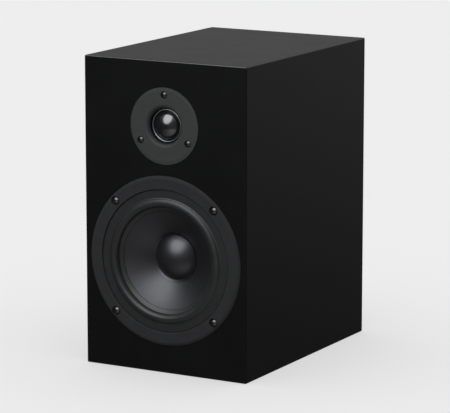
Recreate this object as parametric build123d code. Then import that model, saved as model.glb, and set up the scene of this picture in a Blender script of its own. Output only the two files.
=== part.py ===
from build123d import *
import os
from math import atan2, cos, hypot, radians, sin, tan

# Two-way bookshelf speaker: a mitred MDF cabinet that holds a dome tweeter, a cone woofer, a rear bass port,
# two screw binding posts and the crossover between them.
# Millimetres, +Z up, the front faces -Y, and the origin is the centre of the cabinet's underside.
# Each driver, the port and the terminal plate is drawn about its own axis, with Z pointing out of the cabinet
# and Z = 0 on the cabinet's face, and is then placed on the front or the back.

# ---- Cabinet ----
cabinet_width = 164.0
cabinet_height = 280.0
cabinet_depth = 228.0
edge_radius = 1.2
panel_thickness = 12.0      # sides, top and bottom
baffle_thickness = 18.0
baffle_step = 6.0           # part of the baffle that sits inside the wrap
back_thickness = 12.0
back_bite = 5.0             # depth of the back panel's rebate in the wrap
board_gap = 0.1             # glue line round the baffle's step and the back panel
brace_thickness = 12.0
brace_height = 177.0
brace_rim = 20.0
brace_corner = 12.0
felt_thickness = 8.0
felt_margin = 14.0

# ---- Fits ----
glue = 0.12                 # glue line between formed sheets
slip = 0.3                  # a piece that drops into its hole
thread_gap = 0.05           # a screw in its pilot hole

# ---- Tweeter ----
tweeter_drop = 57.6         # of its centre below the cabinet's top
tweeter_plate_radius = 34.2
tweeter_plate_thickness = 3.4
tweeter_proud = 0.8
tweeter_bevel = 3.0
tweeter_bevel_drop = 0.4
tweeter_gasket_thickness = 0.8
tweeter_screw_inset = 6.6   # from the plate's edge
tweeter_screw_sink = 1.4    # of the heads' seats below the plate's face
tweeter_screw_count = 3
tweeter_screw_angle = 90.0
flare_radius = 3.1
throat_depth = 5.8          # from the plate's face down to the landing of the dome's suspension
throat_ledge = 0.5          # between the flare and the straight part of the throat
trim_groove = 1.4           # round the trim ring
trim_ring_width = 0.75
trim_ring_height = 0.9
dome_radius = 12.5
dome_rise = 6.6
dome_wall = 0.3
dome_suspension_wall = 0.25
dome_landing_thickness = 0.4
dome_landing_inset = 1.0    # from the yoke's edge
dome_roll_width = 1.13
tweeter_former_wall = 0.15
tweeter_winding_wall = 0.5
tweeter_winding_length = 2.8
tweeter_air_gap = 0.35
tweeter_gap_depth = 3.0
tweeter_magnet_thickness = 4.5
tweeter_magnet_radius = 11.2
tweeter_yoke_radius = 19.0
tweeter_yoke_wall = 3.5
tweeter_yoke_floor = 4.0
tweeter_collar_wall = 2.4
tweeter_collar_depth = 6.0

# ---- Woofer ----
woofer_height = 101.7
flange_radius = 76.5
flange_proud = 1.6
flange_round = 4.6
flange_depth = 4.0          # how far the flange sinks into the baffle
woofer_gasket_thickness = 1.0
woofer_screw_inset = 5.8    # from the flange's edge
woofer_screw_sink = 2.0     # of the heads' seats below the flange's face
woofer_screw_count = 4
woofer_screw_angle = 45.0
flange_width = 12.3         # from its edge in to the landing's recess
landing_recess = 1.9        # from the flange's face down to the seat of the surround
landing_gap = 0.5
lip_round = 0.8             # rounding of the flange's inner edge
surround_wall = 0.8
surround_landing_thickness = 0.8
landing_width = 8.2
roll_width = 7.8
roll_rise = 2.3             # top of the roll above the landing
cone_lap = 0.4              # of the cone's rim under the roll
cone_rim_depth = 2.6
cone_land = 5.0             # straight outer part of the cone, where the surround is glued
cone_rim_slope = 22.0
cone_wall = 0.8
cone_neck_depth = 25.5
cap_radius = 21.8
cap_flange = 1.7
cap_rise = 9.0
cap_wall = 0.6
former_radius = 13.0
former_wall = 0.3
winding_wall = 0.8
winding_length = 12.0
former_tail = 1.0
air_gap = 0.5
basket_wall = 2.2
basket_throat_gap = 1.6     # round the roll
spider_depth = 37.0
spider_seat_radius = 41.0
spider_seat_width = 4.5
spider_wall = 0.4
spider_wave_height = 1.6
spider_waves = 5
basket_base_depth = 45.0
basket_base_radius = 37.0
basket_window_count = 6
basket_spoke_angle = 20.0
top_plate_thickness = 5.0
top_plate_radius = 36.5
woofer_magnet_thickness = 15.0
woofer_magnet_radius = 40.0
woofer_magnet_bore = 20.0
yoke_plate_thickness = 5.0
pole_vent_radius = 4.0

# ---- Solder tabs on both drivers ----
tab_width = 3.2
tab_thickness = 0.8
tab_length = 7.0            # behind its strip
tab_x = 6.0
tweeter_tab_x = 7.0
strip_thickness = 1.6

# ---- Button-head screws with a hex socket: shank, head and socket sizes ----
woofer_screw = dict(shank=2.0, length=15.0, head=3.25, rise=2.2, socket=1.3, depth=1.4)
tweeter_screw = dict(shank=1.6, length=13.0, head=2.8, rise=1.8, socket=1.05, depth=1.1)
plate_screw = dict(shank=1.6, length=11.0, head=2.8, rise=1.8, socket=1.05, depth=1.1)
crossover_screw = dict(shank=1.4, length=14.0, head=2.7, rise=1.8, socket=1.0, depth=1.0)
counterbore_gap = 1.0       # room round a screw head

# ---- Port ----
port_drop = 65.0            # of its centre below the cabinet's top
port_bore_radius = 19.0
port_wall = 2.6
port_length = 118.0
port_mouth_flare = 8.0
port_tail_flare = 5.0
port_flange_radius = 33.0
port_flange_proud = 1.5
port_flange_sink = 2.0

# ---- Terminal plate and binding posts ----
terminal_height = 84.0
plate_width = 72.0
plate_height = 50.0
plate_thickness = 3.0
plate_corner = 6.0
plate_boss_width = 48.0
plate_boss_height = 26.0
plate_boss_proud = 2.0      # of the boss, past the back panel's inside face
plate_gasket_thickness = 0.8
plate_screw_inset = 5.0
post_spacing = 19.0
post_radius = 3.5
post_root_radius = 3.05
post_pitch = 1.0
post_length = 20.2          # from its shoulder to its end
post_shoulder_radius = 5.6
post_shoulder_thickness = 1.5
post_tail_radius = 2.5
post_tail_spare = 2.0       # thread past the nut
post_collar_radius = 8.0
post_collar_thickness = 2.0
banana_bore_radius = 2.0
banana_bore_depth = 14.0
wire_hole_radius = 1.6
wire_hole_rise = 2.6        # centre of the wire hole above the shoulder
knob_radius = 7.4
knob_end_thickness = 2.4
knob_end_hole_radius = 2.8
knob_flutes = 12
knob_flute_radius = 1.2
knob_gap = 0.08             # running clearance of the knob on its post
knob_mouth_radius = 4.6     # wider mouth that closes over the wire hole
knob_mouth_margin = 0.3     # of the mouth past the wire hole
washer_radius = 6.2
washer_thickness = 0.8
nut_across = 8.0
nut_thickness = 4.0
lug_thickness = 0.8
lug_length = 13.0

# ---- Crossover board, on the bottom panel ----
crossover_width = 112.0
crossover_depth = 84.0
crossover_thickness = 1.6
crossover_back_gap = 10.0   # behind the board
standoff_height = 6.0
standoff_radius = 3.2
standoff_inset = 5.0
rest_gap = 0.05             # under a round component that lies on the board
wire_radius = 1.1
wire_spacing = 3.0
wire_gap = 0.1              # round a wire in its clip
solder_gap = 0.3            # from a tab to the end of its wire
tag_height = 7.0
clip_setback = 58.0         # of the first clip behind the baffle
clip_pitch = 18.0
clip_width = 6.0
clip_wall = 1.5
clip_foot = 4.0
rise_margin = 4.0           # from the brace's rim to the axis of the nearer rising lead
rise_spread = 1.5           # spacing of the two rising leads, in clip spacings

# ---- Worked out from the sizes above ----
front_y = -cabinet_depth / 2
back_y = cabinet_depth / 2
inside_width = cabinet_width - 2 * panel_thickness
wrap_front_y = front_y + baffle_thickness - baffle_step
inside_front_y = front_y + baffle_thickness
inside_back_y = back_y - back_thickness
inside_depth = inside_back_y - inside_front_y
inside_centre_y = (inside_front_y + inside_back_y) / 2
tweeter_height = cabinet_height - tweeter_drop
port_height = cabinet_height - port_drop

ON_BASE = (Align.CENTER, Align.CENTER, Align.MIN)


def on_front(height):
    """Where a driver's own frame stands on the baffle, with its Z out of the cabinet."""
    return Plane(origin=(0, front_y, height), x_dir=(1, 0, 0), z_dir=(0, -1, 0)).location


def on_back(height):
    """The same on the back panel."""
    return Plane(origin=(0, back_y, height), x_dir=(-1, 0, 0), z_dir=(0, 1, 0)).location


# ---- Shapes that several pieces use ----
def disc(radius, low, high):
    return Pos(0, 0, low) * Cylinder(radius, high - low, align=ON_BASE)


def ring(inner, outer, low, high):
    return disc(outer, low, high) - disc(inner, low, high)


def outline(start, *stops):
    """Closed face in (radius, height): a point ends a straight line, a (middle, end) pair ends an arc."""
    edges = []
    here = start
    for stop in stops:
        if isinstance(stop[0], tuple):
            edges.append(ThreePointArc(here, stop[0], stop[1]))
            here = stop[1]
        else:
            edges.append(Line(here, stop))
            here = stop
    edges.append(Line(here, start))
    return make_face(edges)


def crown(radius, base, rise):
    """Arc stop from the rim of a spherical cap to its top, on the axis."""
    sphere = (radius**2 + rise**2) / (2 * rise)
    centre = base + rise - sphere
    half = atan2(radius, base - centre) / 2
    return ((sphere * sin(half), centre + sphere * cos(half)), (0, base + rise))


def crown_back(radius, base, rise):
    """The same arc, from its top down to its rim."""
    return (crown(radius, base, rise)[0], (radius, base))


def turned(start, *stops):
    """Solid of revolution about Z with that outline."""
    return revolve(Plane.XZ * outline(start, *stops), Axis.Z)


def around(radius, count, first_angle):
    """Evenly spaced places on a circle."""
    return [Rot(0, 0, first_angle + 360 * i / count) * Pos(radius, 0, 0) for i in range(count)]


def group(*shapes):
    """One node made of separate solids."""
    return Compound([solid for shape in shapes for solid in shape.solids()])


def several(places, shape):
    return group(*[place * shape for place in places])


def cut_at(body, places, cutter):
    for place in places:
        body -= place * cutter
    return body


def block(x_range, y_range, z_range):
    size = [high - low for low, high in (x_range, y_range, z_range)]
    centre = [(high + low) / 2 for low, high in (x_range, y_range, z_range)]
    return Pos(*centre) * Box(*size)


def tab(x, y, low, high):
    """Flat solder tab that stands along Z."""
    half_width, half_thickness = tab_width / 2, tab_thickness / 2
    return block((x - half_width, x + half_width), (y - half_thickness, y + half_thickness), (low, high))


def rounded_plate(width, height, corner, low, high):
    return Pos(0, 0, low) * extrude(RectangleRounded(width, height, corner), high - low)


def button_screw(size, seat):
    """Screw with a domed head whose underside is at the height of its seat."""
    top = seat + size["rise"]
    shoulder = seat + 0.25 * size["rise"]
    tip = seat - size["length"]
    body = turned(
        (0, tip),
        (size["shank"], tip),
        (size["shank"], seat),
        (size["head"], seat),
        (size["head"], shoulder),
        crown(size["head"], shoulder, top - shoulder),
    )
    socket = Pos(0, 0, top - size["depth"]) * extrude(RegularPolygon(size["socket"], 6), size["rise"])
    return body - socket


def pilot(size, seat):
    """The hole that takes the screw's shank, a little deeper than the screw."""
    return disc(size["shank"] + thread_gap, seat - size["length"] - 1, seat)


def tube(points, radii, radius):
    """Wire along straight runs that are joined by arcs."""
    path = FilletPolyline(*points, radius=radii)
    start = Plane(origin=path @ 0, z_dir=path % 0)
    return sweep(start * Circle(radius), path)


def arc_radii(points):
    """The largest arc that each corner's two runs allow."""
    radii = []
    for a, b, c in zip(points, points[1:], points[2:]):
        before = Vector(*b) - Vector(*a)
        after = Vector(*c) - Vector(*b)
        turn = radians(before.get_angle(after))
        radii.append(0.45 * min(before.length, after.length) / tan(turn / 2))
    return radii


def wire(points, radius=wire_radius):
    radii = arc_radii(points)
    print("wire arcs", [round(arc / (2 * radius), 1) for arc in radii], "diameters")
    return tube(points, radii, radius)


# ---- Cabinet ----
def outer_block():
    body = Pos(0, 0, cabinet_height / 2) * Box(cabinet_width, cabinet_depth, cabinet_height)
    return fillet(body.edges(), edge_radius)


def everything_between(y_low, y_high):
    wide = cabinet_width + cabinet_depth + cabinet_height
    return block((-wide, wide), (y_low, y_high), (-wide, 2 * wide))


def inside_block(grow, y_low, y_high):
    """The cabinet's inside cross-section, grown on each side, between two depths."""
    half = inside_width / 2 + grow
    heights = (panel_thickness - grow, cabinet_height - panel_thickness + grow)
    return block((-half, half), (y_low, y_high), heights)


def wrap_panels():
    """Left, right, top and bottom panels, cut apart on their 45 degree mitres."""
    wrap = outer_block() & everything_between(wrap_front_y, back_y)
    wrap -= inside_block(0, wrap_front_y, back_y)
    wrap -= inside_block(back_bite, inside_back_y, back_y)
    x, z = cabinet_width / 2, cabinet_height
    x_in, z_low, z_high = x - panel_thickness, panel_thickness, z - panel_thickness
    zones = {
        "left_side_panel": [(-x, 0), (-x_in, z_low), (-x_in, z_high), (-x, z)],
        "right_side_panel": [(x, 0), (x_in, z_low), (x_in, z_high), (x, z)],
        "top_panel": [(-x, z), (-x_in, z_high), (x_in, z_high), (x, z)],
        "bottom_panel": [(-x, 0), (-x_in, z_low), (x_in, z_low), (x, 0)],
    }
    panels = {}
    for name, corners in zones.items():
        zone = extrude(Plane.XZ * make_face(Polyline(*corners, close=True)), cabinet_depth, both=True)
        panels[name] = wrap & zone
    return panels


def front_baffle():
    body = outer_block() & everything_between(front_y, wrap_front_y)
    body += inside_block(-board_gap, wrap_front_y, inside_front_y)
    body -= on_front(tweeter_height) * tweeter_cutout()
    return body - on_front(woofer_height) * woofer_cutout()


def back_panel():
    body = inside_block(back_bite - board_gap, inside_back_y, back_y)
    body -= on_back(port_height) * port_cutout()
    return body - on_back(terminal_height) * terminal_cutout()


def window_brace():
    window = rounded_plate(
        inside_width - 2 * brace_rim, inside_depth - 2 * brace_rim, brace_corner, 0, brace_thickness
    )
    board = Box(inside_width, inside_depth, brace_thickness, align=ON_BASE)
    return Pos(0, inside_centre_y, brace_height - brace_thickness / 2) * (board - window)


def damping_felts():
    """Felt on both side panels, above and below the brace, and under the top panel."""
    floor, ceiling = panel_thickness, cabinet_height - panel_thickness
    low_room = (floor + felt_margin, brace_height - brace_thickness / 2 - felt_margin)
    high_room = (brace_height + brace_thickness / 2 + felt_margin, ceiling - felt_margin)
    depths = (inside_front_y + felt_margin, inside_back_y - felt_margin)
    wall = inside_width / 2
    pieces = []
    for side in (-1, 1):
        x_range = sorted((side * wall, side * (wall - felt_thickness)))
        pieces += [block(x_range, depths, room) for room in (low_room, high_room)]
    half = wall - felt_thickness - felt_margin
    pieces.append(block((-half, half), depths, (ceiling - felt_thickness, ceiling)))
    return group(*pieces)


# ---- Tweeter, about its own axis ----
plate_face = tweeter_proud
plate_back = plate_face - tweeter_plate_thickness
tweeter_rebate = tweeter_gasket_thickness - plate_back
tweeter_seat = plate_face - tweeter_screw_sink
throat_low = plate_face - throat_depth
landing_low = throat_low - dome_landing_thickness
dome_roll_outer = dome_radius + glue + dome_roll_width
trim_ring_inner = dome_roll_outer + thread_gap
throat_radius = trim_ring_inner + trim_ring_width + trim_groove
dome_landing_radius = tweeter_yoke_radius - dome_landing_inset
collar_inner = tweeter_yoke_radius + thread_gap
collar_outer = collar_inner + tweeter_collar_wall
collar_low = throat_low - tweeter_collar_depth
dome_base = throat_low + 0.1
dome_former_inner = dome_radius - tweeter_former_wall
tweeter_winding_outer = dome_radius + thread_gap + tweeter_winding_wall
pole_radius = dome_former_inner - tweeter_air_gap
yoke_lip_radius = tweeter_winding_outer + tweeter_air_gap
pole_low = landing_low - tweeter_gap_depth
tweeter_magnet_low = pole_low - tweeter_magnet_thickness
tweeter_yoke_low = tweeter_magnet_low - tweeter_yoke_floor
tweeter_tab_back = tweeter_yoke_low - strip_thickness - tab_length
tweeter_hole_radius = collar_outer + slip
tweeter_places = around(tweeter_plate_radius - tweeter_screw_inset, tweeter_screw_count, tweeter_screw_angle)


def tweeter_cutout():
    rebate = disc(tweeter_plate_radius + slip, -tweeter_rebate, 5)
    hole = disc(tweeter_hole_radius, -2 * baffle_thickness, 0)
    body = rebate + hole
    for place in tweeter_places:
        body += place * pilot(tweeter_screw, tweeter_seat)
    return body


def tweeter_faceplate():
    """Round plate whose middle flares down to the dome, with a collar behind for the yoke."""
    rim = tweeter_plate_radius
    ledge = plate_face - flare_radius
    ledge_radius = throat_radius + throat_ledge
    lip = ledge_radius + flare_radius
    corner = flare_radius * (1 - cos(radians(45)))
    flare_middle = (ledge_radius + corner, plate_face - corner)
    body = turned(
        (rim, plate_back),
        (rim, plate_face - tweeter_bevel_drop),
        (rim - tweeter_bevel, plate_face),
        (lip, plate_face),
        (flare_middle, (ledge_radius, ledge)),
        (throat_radius, ledge),
        (throat_radius, throat_low),
        (collar_inner, throat_low),
        (collar_inner, collar_low),
        (collar_outer, collar_low),
        (collar_outer, plate_back),
    )
    sink = disc(tweeter_screw["head"] + 0.6 * counterbore_gap, tweeter_seat, plate_face + 1)
    hole = disc(tweeter_screw["shank"] + slip, plate_back, plate_face)
    return cut_at(body, tweeter_places, sink + hole)


def tweeter_gasket():
    body = ring(collar_outer + slip, tweeter_plate_radius - slip, -tweeter_rebate, plate_back)
    return cut_at(body, tweeter_places, disc(tweeter_screw["shank"] + slip, -tweeter_rebate, plate_back))


def tweeter_trim_ring():
    """Bright ring with a rounded top, on the landing of the dome's suspension."""
    inner = trim_ring_inner
    outer = inner + trim_ring_width
    top = throat_low + trim_ring_height - trim_ring_width / 2
    summit = ((inner + outer) / 2, top + trim_ring_width / 2)
    return turned((inner, throat_low), (outer, throat_low), (outer, top), (summit, (inner, top)))


def thin_cap(radius, base, rise, wall):
    """Spherical cap of even wall, open below."""
    sphere = (radius**2 + rise**2) / (2 * rise)
    inner_rise = rise - wall
    inner = ((sphere - wall) ** 2 - (sphere - rise) ** 2) ** 0.5
    return turned(
        (radius, base),
        crown(radius, base, rise),
        (0, base + inner_rise),
        crown_back(inner, base, inner_rise),
    )


def tweeter_dome():
    return thin_cap(dome_radius, dome_base, dome_rise, dome_wall)


def tweeter_suspension():
    """Small half roll between the dome and its flat landing."""
    inner = dome_radius + glue
    outer = dome_roll_outer
    middle = (inner + outer) / 2
    base = throat_low
    rise = (outer - inner) / 2
    wall = dome_suspension_wall
    return turned(
        (dome_landing_radius, landing_low),
        (dome_landing_radius, base),
        (outer, base),
        ((middle, base + rise), (inner, base)),
        (inner, base - wall),
        (inner + wall, base - wall),
        ((middle, base + rise - wall), (outer - wall, base - wall)),
        (outer - wall, landing_low),
    )


def tweeter_coil_former():
    low = landing_low - tweeter_gap_depth / 2 - tweeter_winding_length / 2 - 0.3
    return ring(dome_former_inner, dome_radius, low, dome_base)


def tweeter_voice_coil():
    middle = landing_low - tweeter_gap_depth / 2
    half = tweeter_winding_length / 2
    return ring(dome_radius + thread_gap, tweeter_winding_outer, middle - half, middle + half)


def tweeter_pole_plate():
    return disc(pole_radius, pole_low, landing_low - 0.2)


def tweeter_magnet():
    return disc(tweeter_magnet_radius, tweeter_magnet_low, pole_low)


def tweeter_yoke():
    """Steel cup whose inner lip faces the pole plate across the air gap."""
    well = tweeter_yoke_radius - tweeter_yoke_wall
    body = disc(tweeter_yoke_radius, tweeter_yoke_low, landing_low)
    body -= disc(well, tweeter_magnet_low, pole_low)
    return body - disc(yoke_lip_radius, pole_low, landing_low)


def tweeter_terminals():
    """Insulating strip on the back of the yoke with two solder tabs."""
    strip_low = tweeter_yoke_low - strip_thickness
    strip = rounded_plate(24, 10, 2, strip_low, tweeter_yoke_low)
    tabs = [tab(x, 0, tweeter_tab_back, strip_low) for x in (-tweeter_tab_x, tweeter_tab_x)]
    return group(strip, *tabs)


def tweeter_screws():
    return several(tweeter_places, button_screw(tweeter_screw, tweeter_seat))


# ---- Woofer, about its own axis ----
flange_face = flange_proud
flange_back = -flange_depth
woofer_rebate = flange_depth + woofer_gasket_thickness
woofer_seat = flange_face - woofer_screw_sink
landing_seat = flange_face - landing_recess
landing_recess_radius = flange_radius - flange_width
roll_outer_radius = landing_recess_radius - landing_width
roll_inner_radius = roll_outer_radius - roll_width
cone_rim_radius = roll_inner_radius + cone_lap
basket_throat_radius = roll_outer_radius + basket_throat_gap
landing_face = landing_seat + surround_landing_thickness
basket_hole_radius = basket_throat_radius + basket_wall + 3
woofer_hole_radius = basket_hole_radius + slip
top_plate_face = -basket_base_depth - basket_wall
top_plate_back = top_plate_face - top_plate_thickness
magnet_back = top_plate_back - woofer_magnet_thickness
yoke_back = magnet_back - yoke_plate_thickness
gap_middle = (top_plate_face + top_plate_back) / 2
former_inner = former_radius - former_wall
winding_inner = former_radius + thread_gap
winding_outer = winding_inner + winding_wall
woofer_pole_radius = former_inner - air_gap
top_plate_bore = winding_outer + air_gap
cone_neck_radius = former_radius + glue
woofer_places = around(flange_radius - woofer_screw_inset, woofer_screw_count, woofer_screw_angle)

# The cone's front face: a straight land inside the rim, then an arc that leaves the land smoothly.
land_inner = (
    cone_rim_radius - cone_land,
    -cone_rim_depth - cone_land * tan(radians(cone_rim_slope)),
)
neck = (cone_neck_radius, -cone_neck_depth)
cone_chord = hypot(land_inner[0] - neck[0], land_inner[1] - neck[1])
chord_slope = atan2(land_inner[1] - neck[1], land_inner[0] - neck[0])
cone_arc_radius = cone_chord / (2 * sin(chord_slope - radians(cone_rim_slope)))
arc_centre = (
    land_inner[0] + cone_arc_radius * sin(radians(cone_rim_slope)),
    land_inner[1] - cone_arc_radius * cos(radians(cone_rim_slope)),
)


def cone_front(radius):
    """Height of the cone's front face at a radius."""
    if radius >= land_inner[0]:
        return -cone_rim_depth - (cone_rim_radius - radius) * tan(radians(cone_rim_slope))
    return arc_centre[1] + (cone_arc_radius**2 - (radius - arc_centre[0]) ** 2) ** 0.5


def woofer_cutout():
    body = disc(flange_radius + slip, -woofer_rebate, 5)
    body += disc(woofer_hole_radius, -2 * baffle_thickness, 0)
    for place in woofer_places:
        body += place * pilot(woofer_screw, woofer_seat)
    return body


def woofer_basket():
    """Flange, tapered wall with windows, spider seat and base plate in one moulding."""
    edge_middle = (
        flange_radius - flange_round * (1 - cos(radians(45))),
        flange_face * sin(radians(45)),
    )
    lip_bend = lip_round * (1 - cos(radians(45)))
    lip_middle = (landing_recess_radius + lip_bend, flange_face - lip_bend)
    seat_outer = spider_seat_radius + basket_wall
    seat_inner = spider_seat_radius - spider_seat_width
    base_outer = basket_base_radius + basket_wall
    throat = basket_throat_radius
    body = turned(
        (flange_radius, flange_back),
        (flange_radius, 0),
        (edge_middle, (flange_radius - flange_round, flange_face)),
        (landing_recess_radius + lip_round, flange_face),
        (lip_middle, (landing_recess_radius, flange_face - lip_round)),
        (landing_recess_radius, landing_seat),
        (throat, landing_seat),
        (throat, flange_back),
        (spider_seat_radius, -spider_depth),
        (seat_inner, -spider_depth),
        (seat_inner, -basket_base_depth),
        (top_plate_bore + 1, -basket_base_depth),
        (top_plate_bore + 1, top_plate_face),
        (base_outer, top_plate_face),
        (base_outer, -spider_depth - basket_wall),
        (seat_outer, -spider_depth - basket_wall),
        (throat + basket_wall, flange_back - 2),
        (basket_hole_radius, flange_back - 2),
        (basket_hole_radius, flange_back),
    )
    sink = disc(woofer_screw["head"] + counterbore_gap, woofer_seat, flange_face + 1)
    hole = disc(woofer_screw["shank"] + slip, flange_back, flange_face)
    body = cut_at(body, woofer_places, sink + hole)
    step = 360 / basket_window_count
    half = radians(step - basket_spoke_angle) / 2
    reach = 1.2 * flange_radius
    wedge = Polyline((0, 0), (reach, -reach * tan(half)), (reach, reach * tan(half)), close=True)
    low, high = -spider_depth + 2, flange_back - 4
    window = Pos(0, 0, low) * extrude(make_face(wedge), high - low)
    turns = [Rot(0, 0, step / 2 + step * i) for i in range(basket_window_count)]
    return cut_at(body, turns, window)


def woofer_gasket():
    body = ring(woofer_hole_radius, flange_radius - slip, -woofer_rebate, flange_back)
    return cut_at(body, woofer_places, disc(woofer_screw["shank"] + slip, -woofer_rebate, flange_back))


def woofer_surround():
    """Rubber half roll: flat landing on the basket, roll, and a lip glued on the cone's land."""
    wall = surround_wall
    lip_inner = land_inner[0] + 0.8
    lip_low = cone_front(roll_inner_radius) + glue
    lip_in_low = cone_front(lip_inner) + glue
    middle = (roll_outer_radius + roll_inner_radius) / 2
    top = landing_face + roll_rise
    seat = landing_seat
    return turned(
        (landing_recess_radius - landing_gap, seat),
        (landing_recess_radius - landing_gap, landing_face),
        (roll_outer_radius, landing_face),
        ((middle, top), (roll_inner_radius, lip_low + wall)),
        (lip_inner, lip_in_low + wall),
        (lip_inner, lip_in_low),
        (roll_inner_radius + wall, lip_low + wall * tan(radians(cone_rim_slope))),
        ((middle, top - wall), (roll_outer_radius - wall, seat)),
    )


def cone_curve(drop):
    """Stops along the cone's front face, moved down by a drop, from the rim to the neck."""
    middle = (land_inner[0] + neck[0]) / 2
    return [
        (cone_rim_radius, -cone_rim_depth - drop),
        (land_inner[0], land_inner[1] - drop),
        ((middle, cone_front(middle) - drop), (neck[0], neck[1] - drop)),
    ]


def woofer_cone():
    front, land, arc = cone_curve(0)
    back_rim, back_land, back_arc = cone_curve(cone_wall)
    back_middle, back_neck = back_arc
    return turned(front, land, arc, back_neck, (back_middle, back_land), back_rim)


def woofer_dust_cap():
    """Cap whose narrow flange is glued on the cone."""
    inner = cap_radius - cap_flange
    outer_low = cone_front(cap_radius) + glue
    inner_low = cone_front(inner) + glue
    cap_base = inner_low + cap_wall
    return turned(
        (cap_radius, outer_low),
        (cap_radius, outer_low + cap_wall),
        (inner, cap_base),
        crown(inner, cap_base, cap_rise),
        (0, cap_base + cap_rise - cap_wall),
        crown_back(inner - cap_wall, inner_low, cap_rise),
        (inner, inner_low),
    )


def coil_low():
    return gap_middle - winding_length / 2


def woofer_coil_former():
    return ring(former_inner, former_radius, coil_low() - former_tail, -cone_neck_depth - cone_wall / 2)


def woofer_voice_coil():
    return ring(winding_inner, winding_outer, coil_low(), coil_low() + winding_length)


def woofer_spider():
    """Corrugated cloth disc from the former to its seat in the basket."""
    seat = -spider_depth + glue
    inner = former_radius + glue
    outer = spider_seat_radius - slip
    flat = spider_seat_width
    step = (outer - flat - inner - 1.5) / spider_waves
    radii = [outer - flat - step * i for i in range(spider_waves + 1)]

    def waves(base, stations):
        stops = []
        for i, (start, end) in enumerate(zip(stations, stations[1:])):
            crest = base + (spider_wave_height if i % 2 else -spider_wave_height) / 2
            stops.append((((start + end) / 2, crest), (end, base)))
        return stops

    top = seat + spider_wall
    return turned(
        (outer, seat),
        (outer, top),
        (radii[0], top),
        *waves(top, radii),
        (inner, top),
        (inner, seat),
        (radii[-1], seat),
        *reversed_waves(waves(seat, radii), radii),
    )


def reversed_waves(stops, stations):
    """The same arcs, run from the last station back to the first."""
    middles = [stop[0] for stop in stops]
    base = stops[0][1][1]
    return [(middle, (start, base)) for middle, start in zip(reversed(middles), reversed(stations[:-1]))]


def woofer_top_plate():
    return ring(top_plate_bore, top_plate_radius, top_plate_back, top_plate_face)


def woofer_magnet():
    return ring(woofer_magnet_bore, woofer_magnet_radius, magnet_back, top_plate_back)


def woofer_yoke():
    """Back plate and pole in one piece, with a vent down the middle."""
    body = disc(top_plate_radius, yoke_back, magnet_back)
    body += disc(woofer_pole_radius, magnet_back, top_plate_face + 1)
    return body - disc(pole_vent_radius, yoke_back, top_plate_face + 1)


strip_top = -spider_depth - basket_wall
tab_y = -(spider_seat_radius + basket_wall + 5)
tab_front = strip_top + 4
tab_back = strip_top - strip_thickness - tab_length


def woofer_terminals():
    """Fibre strip under the spider seat, with two brass tabs."""
    inner_y = -(basket_base_radius + basket_wall + 0.3)
    strip = block((-11, 11), (tab_y - 3, inner_y), (strip_top - strip_thickness, strip_top))
    tabs = [tab(x, tab_y, tab_back, tab_front) for x in (-tab_x, tab_x)]
    for piece in tabs:
        strip -= piece
    return group(strip, *tabs)


def woofer_tinsel_leads():
    """Two flexible leads that hang in a bow from the tabs to the back of the cone."""
    lead_radius = 0.6
    end_radius = 1.2 * cap_radius
    end_height = cone_front(end_radius) - cone_wall - lead_radius
    leads = []
    for x in (-tab_x, tab_x):
        points = [
            (x, tab_y, tab_front + lead_radius),
            (x, tab_y + 4, tab_front + 6),
            (x, tab_y + 12, tab_front + 7.5),
            (x, -end_radius - 4, end_height - 6.5),
            (x, -end_radius, end_height - 1),
        ]
        leads.append(wire(points, lead_radius))
    return group(*leads)


def woofer_screws():
    return several(woofer_places, button_screw(woofer_screw, woofer_seat))


# ---- Port, about its own axis on the back ----
port_outer = port_bore_radius + port_wall
port_tail = port_flange_proud - port_length


def port_cutout():
    body = disc(port_flange_radius + slip, -port_flange_sink, 5)
    return body + disc(port_outer + slip, -2 * back_thickness, 0)


def port_tube():
    """One moulding: flange with a flared mouth, straight bore and a smaller flare at its inner end."""
    bore, face = port_bore_radius, port_flange_proud
    mouth, tail = port_mouth_flare, port_tail_flare
    bend = 1 - cos(radians(45))
    edge = port_flange_proud * 0.8
    wall_out = port_outer + tail * 0.7
    return turned(
        (port_flange_radius, -port_flange_sink),
        (port_flange_radius, face - edge),
        ((port_flange_radius - edge * bend, face - edge * bend), (port_flange_radius - edge, face)),
        (bore + mouth, face),
        ((bore + mouth * bend, face - mouth * bend), (bore, face - mouth)),
        (bore, port_tail + tail),
        ((bore + tail * bend, port_tail + tail * bend), (bore + tail, port_tail)),
        (wall_out, port_tail),
        (wall_out, port_tail + 1.6),
        (port_outer, port_tail + tail + 2),
        (port_outer, -port_flange_sink),
    )


# ---- Terminal plate and posts, about the plate's centre on the back ----
gasket_face = plate_gasket_thickness
plate_outer = gasket_face + plate_thickness
collar_face = plate_outer + post_collar_thickness
shoulder_face = collar_face + post_shoulder_thickness
post_end = shoulder_face + post_length
boss_back = -back_thickness - plate_boss_proud
lug_back = boss_back - lug_thickness
nut_back = lug_back - nut_thickness
knob_low = shoulder_face + washer_thickness
knob_high = post_end + 0.4 + knob_end_thickness
post_places = {"red": Pos(post_spacing / 2, 0, 0), "black": Pos(-post_spacing / 2, 0, 0)}
plate_screw_places = [
    Pos(x * (plate_width / 2 - plate_screw_inset), y * (plate_height / 2 - plate_screw_inset), 0)
    for x in (-1, 1)
    for y in (-1, 1)
]


def terminal_cutout():
    width, height = plate_boss_width + 2 * slip, plate_boss_height + 2 * slip
    body = rounded_plate(width, height, plate_corner, -2 * back_thickness, 5)
    for place in plate_screw_places:
        body += place * pilot(plate_screw, plate_outer)
    return body


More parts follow.
